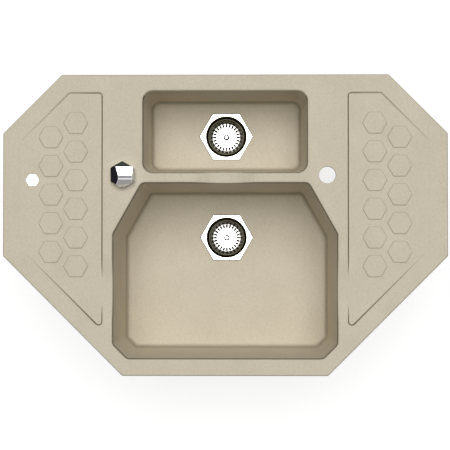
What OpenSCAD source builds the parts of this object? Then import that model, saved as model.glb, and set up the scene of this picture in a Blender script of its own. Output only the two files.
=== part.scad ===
// Quartz kitchen sink for a corner, with two bowls, two drainboards and a knob that lifts the main strainer.
// Millimetres. +X is to the right, +Y to the back, +Z up. z = 0 is the underside of the rim, which sits on
// the worktop, and the origin is the middle of the deck's length and width.

/* [Deck] */
// Width of the deck, from side to side
deck_w = 930; // [900:1:990]
// Depth of the deck, from front to back
deck_d = 630; // [620:1:680]
// Thickness of the deck, which is its height above the worktop
deck_t = 9; // [8:0.5:12]
// Length of the slanted cut at each back corner, along either edge
back_cut = 123; // [100:1:135]
// Length of the slanted cut at each front corner, along either edge
front_cut = 250; // [235:1:258]
// Rounding of the deck's corners, seen from above
deck_corner_r = 8; // [4:1:14]
// Rounding of the deck's upper edge
deck_edge_r = 3; // [1:0.5:4]
// Width of the flat seat on the rim's underside
seat_w = 14; // [12:1:18]
// Height by which the underside inside the seat lies above it
seat_relief = 1; // [0.5:0.25:2]

/* [Bowls] */
// Width of the large bowl's mouth
main_w = 470; // [440:1:480]
// Length of the large bowl's mouth, from front to back
main_l = 367.6; // [340:0.2:370]
// Depth of the large bowl below the deck's top
main_depth = 200; // [160:1:220]
// Width of the large bowl's back wall
main_back_w = 350; // [320:1:380]
// Length of the slanted side wall, measured from front to back
main_slant_l = 107; // [80:1:130]
// Length of the small cut at each front corner of the large bowl
main_front_cut = 30; // [24:1:40]
// Rounding of the large bowl's upright corners
main_corner_r = 14; // [8:1:18]
// Width of the small bowl's mouth
small_w = 344; // [320:1:350]
// Length of the small bowl's mouth, from front to back
small_l = 171.4; // [168:0.2:174]
// Depth of the small bowl below the deck's top
small_depth = 150; // [120:1:170]
// Rounding of the small bowl's upright corners
small_corner_r = 21; // [14:1:26]
// Thickness of the divider between the bowls
divider_w = 21.4; // [19:0.2:26]
// Distance from the deck's middle back to the middle of the divider
divider_y = 99; // [96:1:101]
// Thickness of the bowls' walls
wall_t = 9; // [7:0.5:10]
// Thickness of the bowls' floors
floor_t = 10; // [8:0.5:12]
// Slant of the bowls' walls from upright, in degrees
draft = 4; // [2:0.5:5]
// Rounding of the bowls' upper edges
lip_r = 3.5; // [2:0.5:5]
// Rounding between the bowls' walls and floors
floor_fillet_r = 16; // [10:1:18]

/* [Dips] */
// Depth of the lowered middle of the divider
saddle_depth = 12; // [6:1:16]
// Width of the flat bottom of that saddle
saddle_flat = 48; // [30:1:80]
// Width of each slope of the saddle
saddle_slope = 41; // [30:1:50]
// Width of the strip between each drainboard and the large bowl
spill_w = 20.6; // [18:0.2:24]
// Distance from the deck's middle forward to the middle of the spillways
spill_y = 136; // [125:1:145]
// Width of the flat bottom of each spillway
spill_flat = 48; // [30:1:60]
// Width of each slope of a spillway
spill_slope = 43; // [30:1:50]

/* [Drainboards] */
// Distance from the deck's edge to each drainboard
drain_margin = 36; // [33:1:40]
// Depth of a drainboard at its inner edge, where the water runs off
drain_depth = 6; // [4:0.5:7]
// Depth of a drainboard at its outer edge
drain_lip = 0.4; // [0.3:0.1:1]
// Width of the rounded step round a drainboard
drain_step_w = 4; // [2:0.5:5]
// Rounding of a drainboard's corners at the bottom of the step
drain_corner_r = 5; // [3:1:8]
// Distance between neighbouring hexagons
hex_pitch = 60; // [56:1:62]
// Size of a raised hexagon across its flats
hex_af = 44.5; // [36:0.5:48]
// Height of a raised hexagon
hex_h = 1.3; // [0.8:0.1:2]
// Number of hexagons in the inner column
hex_count = 6; // [4:1:6]
// Distance from the inner column of hexagons to the drainboard's inner edge
hex_inner_gap = 57.4; // [50:0.2:60]
// Distance from the middle of the last hexagon to the drainboard's back edge
hex_back_gap = 65; // [60:1:70]

/* [Deck holes] */
// Diameter of the tap hole and of the knob's hole
hole_d = 35; // [34:0.5:36]
// Distance of both holes behind the middle of the divider
hole_setback = 5.5; // [4:0.5:8]

/* [Badge] */
// Size of the blank inlay across its flats
badge_af = 24; // [18:1:30]
// Thickness of the inlay
badge_t = 1.6; // [1.2:0.1:2.5]
// Distance from the outer column of hexagons to the middle of the inlay
badge_gap = 38.5; // [37:0.1:42]
// Number of hexagons behind the inlay, which lies in the row of the next one
badge_row = 2; // [1:1:3]

/* [Wastes] */
// Diameter of the hole in each bowl's floor
waste_hole_d = 90; // [88:1:92]
// Size of the hexagonal plate across its flats
plate_af = 100; // [98:1:104]
// Thickness of the hexagonal plate
plate_t = 1.8; // [1.2:0.1:2.5]
// Depth of the hexagonal recess that the plate lies in
rebate_depth = 2.2; // [1.8:0.1:2.6]
// Thickness of the seal under the plate
seal_t = 0.8; // [0.5:0.1:1.2]
// Depth of the strainer cup to the ledge that the stopper closes on
cup_ledge = 31; // [30:0.5:34]
// Depth of the sump below that ledge
cup_sump = 6; // [5:0.5:8]
// Thickness of the steel of cups and baskets
sheet_t = 1; // [0.8:0.1:1.2]
// Thickness of the gasket below the bowl's floor
gasket_t = 3; // [2:0.5:4]
// Diameter of the outlet's thread, an inch and a half pipe thread
outlet_d = 47.8; // [47:0.1:48.5]
// Length of the outlet's thread
outlet_l = 25; // [20:1:30]
// Distance of the large bowl's waste in front of the bowl's back edge
main_waste_y = 112.3; // [95:0.1:150]
// Length of the neck that carries the cable's port, above the large waste's thread
main_neck_l = 18; // [16:1:30]

/* [Strainers] */
// Diameter of a basket's rim
basket_d = 79; // [76:0.5:80]
// Diameter of a basket's bottom
basket_bottom_d = 62; // [58:0.5:64]
// Depth of a basket
basket_h = 21; // [18:0.5:23]
// Number of slots in a basket
slot_count = 24; // [18:1:26]
// Width of a slot
slot_w = 2.4; // [1.6:0.1:3]
// Diameter of the plain disc inside the slots
slot_inner_d = 44; // [40:0.5:48]
// Diameter of the circle on which the slots end
slot_outer_d = 58; // [54:0.5:60]
// Diameter of the basket's little knob
stem_d = 13; // [11:0.5:15]
// Height of the basket's little knob
stem_h = 11; // [8:0.5:14]
// Diameter of the rubber stopper
stopper_d = 74; // [72:0.5:76]
// Thickness of the rubber stopper
stopper_t = 3; // [2.5:0.1:3.4]

/* [Knob] */
// Size of the knob across its flats
knob_af = 50; // [47:0.5:54]
// Height of the knob
knob_h = 26; // [24:1:32]
// Distance from the knob's middle to its left facet, at the top
knob_left = 8.5; // [6:0.5:12]
// Distance from the knob's middle to its right facet, at the top
knob_right = 21.5; // [19:0.5:23]
// Distance from the knob's middle to its back facet, at the top
knob_back = 16; // [12:0.5:20]
// Distance from the knob's middle forwards to where its top begins to curve down
knob_brow = 2; // [0:0.5:8]
// Radius of the curve that the knob's top follows to the front
knob_curve_r = 40; // [36:1:60]
// How far the knob turns, in degrees
knob_turn = 90; // [60:5:100]
// Radius at which the drum winds the push wire
drum_groove_r = 6.5; // [6:0.1:7]
// Diameter of the spindle
spindle_d = 8; // [7:0.1:8.4]

/* [Push cable] */
// Diameter of the cable's casing
cable_d = 5.5; // [4.5:0.1:6]
// Diameter of the lift pin
pin_d = 4; // [3:0.1:4.4]

/* [Clamps] */
// Distance from the deck's edge to the middle of a clamp screw
clamp_inset = 33; // [32:0.5:36]
// Thickness of the worktop that the clamps are set for
worktop_t = 38; // [28:1:42]
// Width of a clamp
clamp_w = 16; // [12:1:20]
// Diameter of a clamp screw
clamp_screw_d = 5; // [4:0.1:5.6]
// Place of the middle clamps behind the deck's middle
side_clamp_y = [150, -20]; // [-30:1:160]

/* [Clearances] */
// Radial clearance of parts that turn or slide in each other
run_gap = 0.08; // [0.03:0.01:0.1]
// Clearance of parts that are laid or pushed in by hand
lay_gap = 0.3; // [0.2:0.05:0.4]

/* [Hidden] */

quartz = [0.80, 0.76, 0.69];
steel = [0.82, 0.82, 0.81];
chrome = [0.88, 0.89, 0.90];
rubber = [0.13, 0.13, 0.13];
plastic = [0.88, 0.88, 0.86];
dark_plastic = [0.20, 0.21, 0.22];
brass = [0.78, 0.63, 0.34];

// Steps in which curves of cast surfaces are cut
arc_steps = 5;
// How far a cut runs past the surface that it opens
over = 1;
round_fn = 72;

// Outlines, all anticlockwise
deck_outline = [
    [-deck_w / 2 + front_cut, -deck_d / 2], [deck_w / 2 - front_cut, -deck_d / 2],
    [deck_w / 2, -deck_d / 2 + front_cut], [deck_w / 2, deck_d / 2 - back_cut],
    [deck_w / 2 - back_cut, deck_d / 2], [-deck_w / 2 + back_cut, deck_d / 2],
    [-deck_w / 2, deck_d / 2 - back_cut], [-deck_w / 2, -deck_d / 2 + front_cut]
];
main_back_y = divider_y - divider_w / 2;
main_front_y = main_back_y - main_l;
main_outline = [
    [-main_w / 2 + main_front_cut, main_front_y], [main_w / 2 - main_front_cut, main_front_y],
    [main_w / 2, main_front_y + main_front_cut], [main_w / 2, main_back_y - main_slant_l],
    [main_back_w / 2, main_back_y], [-main_back_w / 2, main_back_y],
    [-main_w / 2, main_back_y - main_slant_l], [-main_w / 2, main_front_y + main_front_cut]
];
small_front_y = divider_y + divider_w / 2;
small_back_y = small_front_y + small_l;
small_outline = [
    [-small_w / 2, small_front_y], [small_w / 2, small_front_y],
    [small_w / 2, small_back_y], [-small_w / 2, small_back_y]
];

// The left drainboard follows the deck's outline, a margin inside it, and ends at a straight inner edge
drain_x = main_w / 2 + spill_w;
drain_out_x = deck_w / 2 - drain_margin;
drain_back_y = deck_d / 2 - drain_margin;
drain_back_sum = deck_w / 2 + deck_d / 2 - back_cut - drain_margin * sqrt(2);
drain_front_sum = deck_w / 2 + deck_d / 2 - front_cut - drain_margin * sqrt(2);
drain_outline = [
    [-drain_x, drain_x - drain_front_sum], [-drain_x, drain_back_y],
    [drain_back_y - drain_back_sum, drain_back_y], [-drain_out_x, drain_back_sum - drain_out_x],
    [-drain_out_x, drain_out_x - drain_front_sum]
];
drain_slope = (drain_depth - drain_lip) / (drain_out_x - drain_x);
drain_angle = atan(drain_slope);

// Places of the holes, the wastes and the hexagons
hole_x = (drain_x + small_w / 2) / 2;
hole_y = divider_y + hole_setback;
main_floor_z = deck_t - main_depth;
small_floor_z = deck_t - small_depth;
main_waste = [0, main_back_y - main_waste_y, main_floor_z];
small_waste = [0, (small_front_y + small_back_y) / 2, small_floor_z];
hex_x = drain_x + hex_inner_gap;
hex_outer_x = hex_x + hex_pitch * cos(30);
hex_y = drain_back_y - hex_back_gap;
badge_x = hex_outer_x + badge_gap;
badge_y = hex_y - badge_row * hex_pitch;

// Levels and radii of a waste, with z = 0 at the top of the bowl's floor
plate_top = seal_t + plate_t - rebate_depth;
hole_r = waste_hole_d / 2;
cup_r = hole_r - 2;
cup_in_r = cup_r - sheet_t;
mouth_r = 2.5;
ledge_z = plate_top - cup_ledge;
sump_z = ledge_z - cup_sump;
ledge_in_r = stopper_d / 2 - 4;
sump_hole_r = 7;
sump_hole_at = 20;
gasket_z = -floor_t - gasket_t;
gasket_out_r = cup_r + 12;
body_in_r = cup_r + 2;
body_wall = 3;
collar_t = 4;
funnel_top_z = sump_z - sheet_t - 4;
funnel_bottom_z = funnel_top_z - 19;
outlet_in_r = outlet_d / 2 - 4;
boss_r = 6.5;
boss_top_z = sump_z - sheet_t - lay_gap;
boss_l = 12;
screw_r = 3;
hollow_screw_r = pin_d / 2 + 1.5;
screw_head_r = 7;
screw_head_t = 1.6;
screw_slot_w = 1.2;
screw_slot_depth = 0.8;
rib_t = 3;
rib_drop = 3;
neck_r = outlet_d / 2 + 2;

// Levels of a strainer, with the same z = 0
stopper_z = ledge_z + lay_gap;
basket_z = stopper_z + stopper_t;
basket_rim_z = basket_z + basket_h;
stem_foot_t = 1.4;
stem_foot_z = stopper_z - stem_foot_t;
stem_shank_r = 2.5;
rivet_gap = 0.05;
basket_edge = 3;
basket_rim_w = 2.2;

// The pin, the elbow and the port of the large bowl's waste
pin_lift = drum_groove_r * knob_turn * PI / 180;
pin_top_z = stem_foot_z - lay_gap;
pin_bottom_z = boss_top_z - boss_l - 3;
port_z = -64;
elbow_r = 5;
elbow_top_r = 6.5;
port_r = 10;
port_wall = 2.4;
port_end = 58;
plug_l = 12;
cable_seat_l = 8;
cable_bore_r = cable_d / 2 + run_gap;
nut_l = 10;
nut_wall = 3;
nut_cap_t = 2.5;
nut_nose_l = 6;
wire_r = 1.2;

// The knob's drive, in world levels
bush_r = hole_d / 2 - 1;
bush_flange_r = bush_r + 4.6;
bush_gasket_t = 1;
bush_flange_t = 2.6;
bush_top_z = deck_t + bush_gasket_t + bush_flange_t;
bush_bottom_z = -32;
washer_t = 3;
washer_z = seat_relief - washer_t;
washer_out_r = bush_r + 7;
locknut_af = 46;
locknut_t = 8;
knob_z = deck_t + bush_gasket_t;
knob_bore_top_z = bush_top_z + 13;
spindle_bore_r = spindle_d / 2 + run_gap;
spindle_top_z = knob_bore_top_z - 3;
spindle_bottom_z = -52;
facet_angle = 40;
left_turn = 15;
right_angle = 65;
right_turn = -8;
brow_angle = 8;
grub_z = bush_top_z + 5;
grub_r = 2;
grub_l = 8;
grub_key_af = 2;
grub_key_depth = 2;
housing_top_z = bush_bottom_z - 3;
housing_bottom_z = -58;
housing_r = 17;
housing_wall = 3;
housing_collar_h = 11;
cover_t = 2.5;
drum_r = 10;
drum_z = -46;
drum_t = 8;
housing_port_r = 6;
housing_port_end = 26;
housing_nut_l = 6;
housing_nut_cap_t = 2;
housing_nut_nose_l = 5;
clip_t = 1.2;
clip_w = 3;
clip_opening = 2;
cover_screw_r = 0.75;
cover_screw_in = 1.5;
cover_screw_l = 5;
cover_head_r = 1.5;
cover_head_t = 1.2;
cover_lip_h = 2;

// A clamp, with its screw upright at u = 0 and the rim outwards at +u
clamp_boss_r = 7;
clamp_boss_h = 12;
clamp_t = 2;
clamp_z = -worktop_t - 4;
toe_u = 28;
toe_h = 3;
heel_u = -12;
insert_r = 4;
insert_l = 10;
clamp_head_af = 8;
clamp_head_t = 3.5;
clamp_places = [
    for (side = [-1, 1]) each [
        [side * hole_x, deck_d / 2 - clamp_inset, 90],
        [side * (deck_w / 2 - clamp_inset), side_clamp_y[0], side > 0 ? 0 : 180],
        [side * (deck_w / 2 - clamp_inset), side_clamp_y[1], side > 0 ? 0 : 180],
        [side * (deck_w / 2 - front_cut / 2 - clamp_inset * sqrt(0.5)),
         -(deck_d / 2 - front_cut / 2 - clamp_inset * sqrt(0.5)), side > 0 ? -45 : 225]
    ]
];

// The cable's route, from the drum's housing round the large bowl to its waste, straight at both ends
cable_start = [-hole_x - housing_port_end + cable_seat_l, hole_y + drum_groove_r, drum_z];
cable_end = main_waste + [-port_end + cable_seat_l, 0, port_z];
cable_route = [
    cable_start, cable_start - [16, 0, 0], cable_start - [26, 0, 0],
    [-280, 110, -55], [-292, 100, -84], [-286, 76, -130], [-262, 46, -180],
    [-222, 14, -224], [-170, -10, -248], [-110, -22, -255],
    cable_end - [30, 0, 0], cable_end - [18, 0, 0], cable_end
];
cable_cuts = 3;
cable_sides = 8;

function unit(v) = v / norm(v);

// The arc that rounds corner b between its neighbours a and c, after the outline has moved in by an inset
function corner_arc(a, b, c, inset, r) =
    let (u = unit(a - b), v = unit(c - b), half = acos(u * v) / 2)
    let (centre = b + unit(u + v) * (inset + r) / sin(half), start = atan2(u.x, -u.y))
    [for (i = [0:arc_steps]) centre + r * [cos(start + i * (180 - 2 * half) / arc_steps),
                                           sin(start + i * (180 - 2 * half) / arc_steps)]];

function rounded(outline, inset, r) =
    let (n = len(outline))
    [for (i = [0:n - 1])
        each corner_arc(outline[(i + n - 1) % n], outline[i], outline[(i + 1) % n], inset, r)];

// One level ring of a cast surface, whose corners grow with the outline
function ring(outline, inset, r, z) =
    [for (p = rounded(outline, inset, r + max(0, -inset))) [p.x, p.y, z]];

// A smooth closed body through rings that are listed from the bottom up
module loft(rings) {
    n = len(rings[0]);
    last = len(rings) - 1;
    sides = [
        for (k = [0:last - 1]) for (i = [0:n - 1])
            let (j = (i + 1) % n, a = k * n, b = a + n)
            each [[a + i, b + i, b + j], [a + i, b + j, a + j]]
    ];
    bottom = [for (i = [0:n - 1]) i];
    top = [for (i = [0:n - 1]) last * n + n - 1 - i];
    polyhedron(points = [for (r = rings) each r], faces = concat(sides, [bottom, top]));
}

module hexagon(af, h) {
    cylinder(r = af / sqrt(3), h = h, $fn = 6);
}

module tube(r, inner_r, h) {
    difference() {
        cylinder(r = r, h = h, $fn = round_fn);
        translate([0, 0, -over]) cylinder(r = inner_r, h = h + 2 * over, $fn = round_fn);
    }
}

module both_sides() {
    children();
    mirror([1, 0, 0]) children();
}

// The sink's body

module deck_plate() {
    curve = [for (i = [0:arc_steps]) i * 90 / arc_steps];
    difference() {
        loft(concat(
            [ring(deck_outline, 0, deck_corner_r, 0)],
            [for (a = curve) ring(deck_outline, deck_edge_r * (1 - cos(a)), deck_corner_r,
                                  deck_t - deck_edge_r * (1 - sin(a)))]
        ));
        loft([ring(deck_outline, seat_w, deck_corner_r, -over),
              ring(deck_outline, seat_w, deck_corner_r, seat_relief)]);
    }
}

// Rings of a bowl's hollow: rounded floor, drafted walls and a rounded upper edge
function hollow_rings(outline, r, depth) =
    let (floor_z = deck_t - depth, wall_z = deck_t - lip_r, f = floor_fillet_r)
    let (foot = tan(draft) * (wall_z - floor_z - f))
    concat(
        [for (i = [0:arc_steps]) let (a = i * 90 / arc_steps)
            ring(outline, foot + f * (1 - sin(a)), r, floor_z + f * (1 - cos(a)))],
        [for (i = [0:arc_steps]) let (a = i * 90 / arc_steps)
            ring(outline, -lip_r * (1 - cos(a)), r, wall_z + lip_r * sin(a))],
        [ring(outline, -lip_r, r, deck_t + over)]
    );

module bowl_hollow(outline, r, depth) {
    loft(hollow_rings(outline, r, depth));
}

module bowl_shell(outline, r, depth) {
    bottom_z = deck_t - depth - floor_t;
    f = floor_fillet_r + wall_t;
    foot = tan(draft) * (deck_t - lip_r - bottom_z - f) - wall_t;
    loft(concat(
        [for (i = [0:arc_steps]) let (a = i * 90 / arc_steps)
            ring(outline, foot + f * (1 - sin(a)), r, bottom_z + f * (1 - cos(a)))],
        [ring(outline, -wall_t, r, deck_t / 2)]
    ));
}

function drain_fall(x) = drain_lip + drain_slope * (drain_out_x + x);

function drain_ring(inset, share) =
    [for (p = rounded(drain_outline, inset, drain_corner_r + drain_step_w - inset))
        [p.x, p.y, deck_t - share * drain_fall(p.x)]];

// The recess of the left drainboard, whose floor falls towards the bowl
module drain_hollow() {
    top = [for (p = drain_ring(0, 0)) [p.x, p.y, p.z + over]];
    loft(concat(
        [for (i = [0:arc_steps - 1]) let (a = i * 180 / arc_steps)
            drain_ring(drain_step_w * (1 - i / arc_steps), (1 + cos(a)) / 2)],
        [drain_ring(0, 0), top]
    ));
}

// Material below the left drainboard that keeps the deck's thickness there
module drain_pan() {
    loft([
        [for (p = rounded(drain_outline, -drain_step_w, drain_corner_r + drain_step_w))
            [p.x, p.y, -drain_fall(p.x)]],
        [for (p = rounded(drain_outline, -drain_step_w, drain_corner_r + drain_step_w))
            [p.x, p.y, deck_t / 2]]
    ]);
}

// Places a child on the left drainboard's sloping floor
module on_drain(x, y) {
    translate([x, y, deck_t - drain_fall(x)]) rotate([0, drain_angle, 0]) children();
}

module drain_hexagons() {
    root_depth = 2;
    for (i = [0:hex_count - 1])
        on_drain(-hex_x, hex_y - i * hex_pitch)
            translate([0, 0, -root_depth]) hexagon(hex_af, root_depth + hex_h);
    for (i = [0:hex_count - 2])
        on_drain(-hex_outer_x, hex_y - (i + 0.5) * hex_pitch)
            translate([0, 0, -root_depth]) hexagon(hex_af, root_depth + hex_h);
}

// A dip with a flat bottom and two slopes, cut along Y
module dip(flat, slope, depth, length) {
    rise = over * slope / depth;
    rotate([90, 0, 0]) linear_extrude(height = length, center = true)
        polygon([[-flat / 2, -depth], [flat / 2, -depth],
                 [flat / 2 + slope + rise, over], [-flat / 2 - slope - rise, over]]);
}

module spillway() {
    length = spill_w + 2 * lip_r;
    translate([-drain_x + length / 2, -spill_y, deck_t])
        rotate([0, 0, 90]) dip(spill_flat, spill_slope, drain_depth, length);
}

module saddle() {
    translate([0, divider_y, deck_t]) dip(saddle_flat, saddle_slope, saddle_depth, divider_w + 4 * lip_r);
}

// Material that keeps the thickness below the saddle and the spillways
module webs() {
    saddle_web_h = saddle_depth + wall_t;
    saddle_web_w = saddle_flat + 2 * saddle_slope;
    spill_web_h = drain_depth + wall_t / 4;
    spill_web_l = spill_flat + 2 * spill_slope;
    translate([-saddle_web_w / 2, main_back_y - wall_t / 2, -saddle_web_h])
        cube([saddle_web_w, divider_w + wall_t, saddle_web_h + deck_t / 2]);
    both_sides()
        translate([-drain_x - over, -spill_y - spill_web_l / 2, -spill_web_h])
            cube([spill_w + wall_t / 2, spill_web_l, spill_web_h + deck_t / 2]);
}

module clamp_bosses() {
    at_clamps() translate([0, 0, -clamp_boss_h])
        cylinder(r = clamp_boss_r, h = clamp_boss_h + deck_t / 2, $fn = round_fn);
}

module waste_seat(place) {
    translate(place) {
        translate([0, 0, -floor_t - over])
            cylinder(r = hole_r, h = floor_t + 2 * over, $fn = round_fn);
        translate([0, 0, -rebate_depth]) hexagon(plate_af + 2 * lay_gap, rebate_depth + over);
    }
}

module deck_hole(x) {
    translate([x, hole_y, -over]) cylinder(r = hole_d / 2, h = deck_t + 2 * over, $fn = round_fn);
}

module sink_body() {
    color(quartz) union() {
        difference() {
            union() {
                deck_plate();
                bowl_shell(main_outline, main_corner_r, main_depth);
                bowl_shell(small_outline, small_corner_r, small_depth);
                both_sides() drain_pan();
                webs();
                clamp_bosses();
            }
            bowl_hollow(main_outline, main_corner_r, main_depth);
            bowl_hollow(small_outline, small_corner_r, small_depth);
            both_sides() drain_hollow();
            both_sides() spillway();
            saddle();
            waste_seat(main_waste);
            waste_seat(small_waste);
            deck_hole(hole_x);
            deck_hole(-hole_x);
            on_drain(-badge_x, badge_y)
                translate([0, 0, -badge_t]) hexagon(badge_af + lay_gap, badge_t + over);
            at_clamps() translate([0, 0, -clamp_boss_h - over])
                cylinder(r = insert_r + rivet_gap, h = insert_l + over, $fn = round_fn);
        }
        both_sides() drain_hexagons();
    }
}

module blank_badge() {
    color(steel) on_drain(-badge_x, badge_y)
        translate([0, 0, -badge_t + rivet_gap]) hexagon(badge_af, badge_t + lay_gap);
}

// Pieces of a waste, each with z = 0 at the top of the bowl's floor

// The steel plate with its cup, whose mouth is rounded
module waste_flange() {
    floor_z = sump_z - sheet_t;
    color(steel) difference() {
        union() {
            translate([0, 0, plate_top - plate_t]) hexagon(plate_af, plate_t);
            rotate_extrude($fn = round_fn) polygon([
                [0, plate_top], [cup_r, plate_top], [cup_r, ledge_z - sheet_t],
                [ledge_in_r, ledge_z - sheet_t], [ledge_in_r, floor_z], [0, floor_z]
            ]);
        }
        rotate_extrude($fn = round_fn) polygon(concat(
            [[0, sump_z], [ledge_in_r - sheet_t, sump_z], [ledge_in_r - sheet_t, ledge_z],
             [cup_in_r, ledge_z], [cup_in_r, plate_top - mouth_r]],
            [for (i = [1:arc_steps]) let (a = i * 90 / arc_steps)
                [cup_in_r + mouth_r * (1 - cos(a)), plate_top - mouth_r * (1 - sin(a))]],
            [[cup_in_r + mouth_r, plate_top + over], [0, plate_top + over]]
        ));
        for (a = [0:60:300])
            rotate([0, 0, a]) translate([sump_hole_at, 0, floor_z - over])
                cylinder(r = sump_hole_r, h = sheet_t + 2 * over, $fn = round_fn);
        translate([0, 0, floor_z - over])
            cylinder(r = hollow_screw_r + 2 * rivet_gap, h = sheet_t + 2 * over, $fn = round_fn);
    }
}

module flange_seal() {
    color(rubber) translate([0, 0, -rebate_depth]) difference() {
        hexagon(plate_af - 2, seal_t);
        translate([0, 0, -over]) cylinder(r = cup_r + lay_gap, h = seal_t + 2 * over, $fn = round_fn);
    }
}

module floor_gasket() {
    color(rubber) translate([0, 0, gasket_z]) tube(gasket_out_r, cup_r + 2 * lay_gap, gasket_t);
}

// The outside of a waste's plastic body, from the gasket down to the end of the outlet's thread
module waste_outside(neck_l) {
    thread_z = funnel_bottom_z - neck_l;
    neck = neck_l > 0 ? [[neck_r, funnel_bottom_z], [neck_r, thread_z]] : [];
    rotate_extrude($fn = round_fn) polygon(concat(
        [[0, gasket_z], [0, thread_z - outlet_l]],
        [[outlet_d / 2, thread_z - outlet_l], [outlet_d / 2, thread_z]],
        [for (i = [len(neck) - 1:-1:0]) neck[i]],
        [[body_in_r + body_wall, funnel_top_z], [body_in_r + body_wall, gasket_z - collar_t],
         [gasket_out_r, gasket_z - collar_t], [gasket_out_r, gasket_z]]
    ));
}

// The way of the water through that body
module waste_inside(neck_l) {
    end_z = funnel_bottom_z - neck_l - outlet_l - over;
    rotate_extrude($fn = round_fn) polygon([
        [0, gasket_z + over], [0, end_z], [outlet_in_r, end_z], [outlet_in_r, funnel_bottom_z],
        [body_in_r, funnel_top_z], [body_in_r, gasket_z + over]
    ]);
}

// The boss that takes the screw, on three ribs that end in the middle of the shell's wall
module waste_boss(bore_r) {
    rib_z = boss_top_z - boss_l + rib_drop / 2;
    rib_h = boss_top_z - rib_drop - rib_z;
    reach_r = body_in_r + body_wall / 2;
    outlet_reach_r = (outlet_in_r + outlet_d / 2) / 2;
    difference() {
        union() {
            translate([0, 0, boss_top_z - boss_l]) cylinder(r = boss_r, h = boss_l, $fn = round_fn);
            intersection() {
                rotate_extrude($fn = round_fn) polygon([
                    [0, gasket_z], [0, funnel_bottom_z], [outlet_reach_r, funnel_bottom_z],
                    [reach_r, funnel_top_z], [reach_r, gasket_z]
                ]);
                for (a = [60:120:300])
                    rotate([0, 0, a]) translate([0, -rib_t / 2, rib_z])
                        cube([reach_r + over, rib_t, rib_h]);
            }
        }
        translate([0, 0, boss_top_z - boss_l - over])
            cylinder(r = bore_r, h = boss_l + 2 * over, $fn = round_fn);
    }
}

module small_waste_body() {
    color(dark_plastic) translate(small_waste) union() {
        difference() {
            waste_outside(0);
            waste_inside(0);
        }
        waste_boss(screw_r + rivet_gap);
    }
}

// The large bowl's waste has a side port, through which the push cable comes in
module main_waste_body() {
    color(dark_plastic) translate(main_waste) union() {
        difference() {
            union() {
                waste_outside(main_neck_l);
                translate([0, 0, port_z]) rotate([0, -90, 0])
                    cylinder(r = port_r, h = port_end, $fn = round_fn);
            }
            waste_inside(main_neck_l);
            translate([0, 0, port_z]) rotate([0, -90, 0])
                cylinder(r = port_r - port_wall, h = port_end + over, $fn = round_fn);
        }
        waste_boss(hollow_screw_r + rivet_gap);
    }
}

module main_hollow_screw() {
    tip_z = boss_top_z - boss_l - 1;
    color(brass) translate(main_waste) difference() {
        union() {
            translate([0, 0, sump_z]) cylinder(r = screw_head_r, h = screw_head_t, $fn = round_fn);
            translate([0, 0, tip_z]) cylinder(r = hollow_screw_r, h = sump_z - tip_z + over, $fn = round_fn);
        }
        translate([0, 0, tip_z - over])
            cylinder(r = pin_d / 2 + run_gap, h = sump_z - tip_z + screw_head_t + 2 * over, $fn = round_fn);
    }
}

module small_centre_screw() {
    tip_z = boss_top_z - boss_l + 1;
    slot_z = sump_z + screw_head_t - screw_slot_depth;
    color(steel) translate(small_waste) difference() {
        union() {
            translate([0, 0, sump_z]) cylinder(r = screw_head_r, h = screw_head_t, $fn = round_fn);
            translate([0, 0, tip_z]) cylinder(r = screw_r, h = sump_z - tip_z + over, $fn = round_fn);
        }
        translate([-screw_head_r - over, -screw_slot_w / 2, slot_z])
            cube([2 * screw_head_r + 2 * over, screw_slot_w, screw_slot_depth + over]);
    }
}

// The pressed basket, with slots round its bottom edge
module strainer_basket() {
    rim_r = basket_d / 2;
    bottom_r = basket_bottom_d / 2;
    wall_r = rim_r - basket_rim_w;
    edge = basket_edge;
    color(steel) difference() {
        rotate_extrude($fn = round_fn) polygon([
            [0, basket_z], [bottom_r - edge, basket_z], [bottom_r, basket_z + edge],
            [wall_r, basket_rim_z - sheet_t], [rim_r, basket_rim_z - sheet_t], [rim_r, basket_rim_z],
            [wall_r - sheet_t, basket_rim_z], [bottom_r - sheet_t, basket_z + edge],
            [bottom_r - edge - sheet_t / 2, basket_z + sheet_t], [0, basket_z + sheet_t]
        ]);
        for (i = [0:slot_count - 1])
            rotate([0, 0, (i + 0.5) * 360 / slot_count])
                translate([slot_inner_d / 2, -slot_w / 2, basket_z - over])
                    cube([(slot_outer_d - slot_inner_d) / 2, slot_w, basket_edge]);
        translate([0, 0, basket_z - over])
            cylinder(r = stem_shank_r + rivet_gap, h = sheet_t + 2 * over, $fn = round_fn);
    }
}

// The turned knob above the basket, its shank and the foot below the stopper
module basket_stem() {
    r = stem_d / 2;
    waist_r = r * 0.55;
    dish_r = r * 0.6;
    base_z = basket_z + sheet_t;
    top_z = base_z + stem_h;
    chamfer = 0.8;
    head_t = 2;
    color(chrome) rotate_extrude($fn = round_fn) polygon([
        [0, stem_foot_z], [r, stem_foot_z], [r, stopper_z], [stem_shank_r, stopper_z],
        [stem_shank_r, base_z], [r - chamfer, base_z], [waist_r, base_z + 2 * chamfer],
        [waist_r, top_z - head_t - 2 * chamfer], [r, top_z - head_t], [r, top_z - chamfer],
        [r - chamfer, top_z], [dish_r, top_z], [dish_r - chamfer, top_z - chamfer], [0, top_z - chamfer]
    ]);
}

module stopper_seal() {
    color(rubber) translate([0, 0, stopper_z])
        tube(stopper_d / 2, stem_shank_r + rivet_gap, stopper_t);
}

// The pin that pushes the main basket up, and what guides and pushes it

module lift_pin() {
    color(steel) translate(main_waste) translate([0, 0, pin_bottom_z])
        cylinder(r = pin_d / 2, h = pin_top_z - pin_bottom_z, $fn = round_fn);
}

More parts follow.
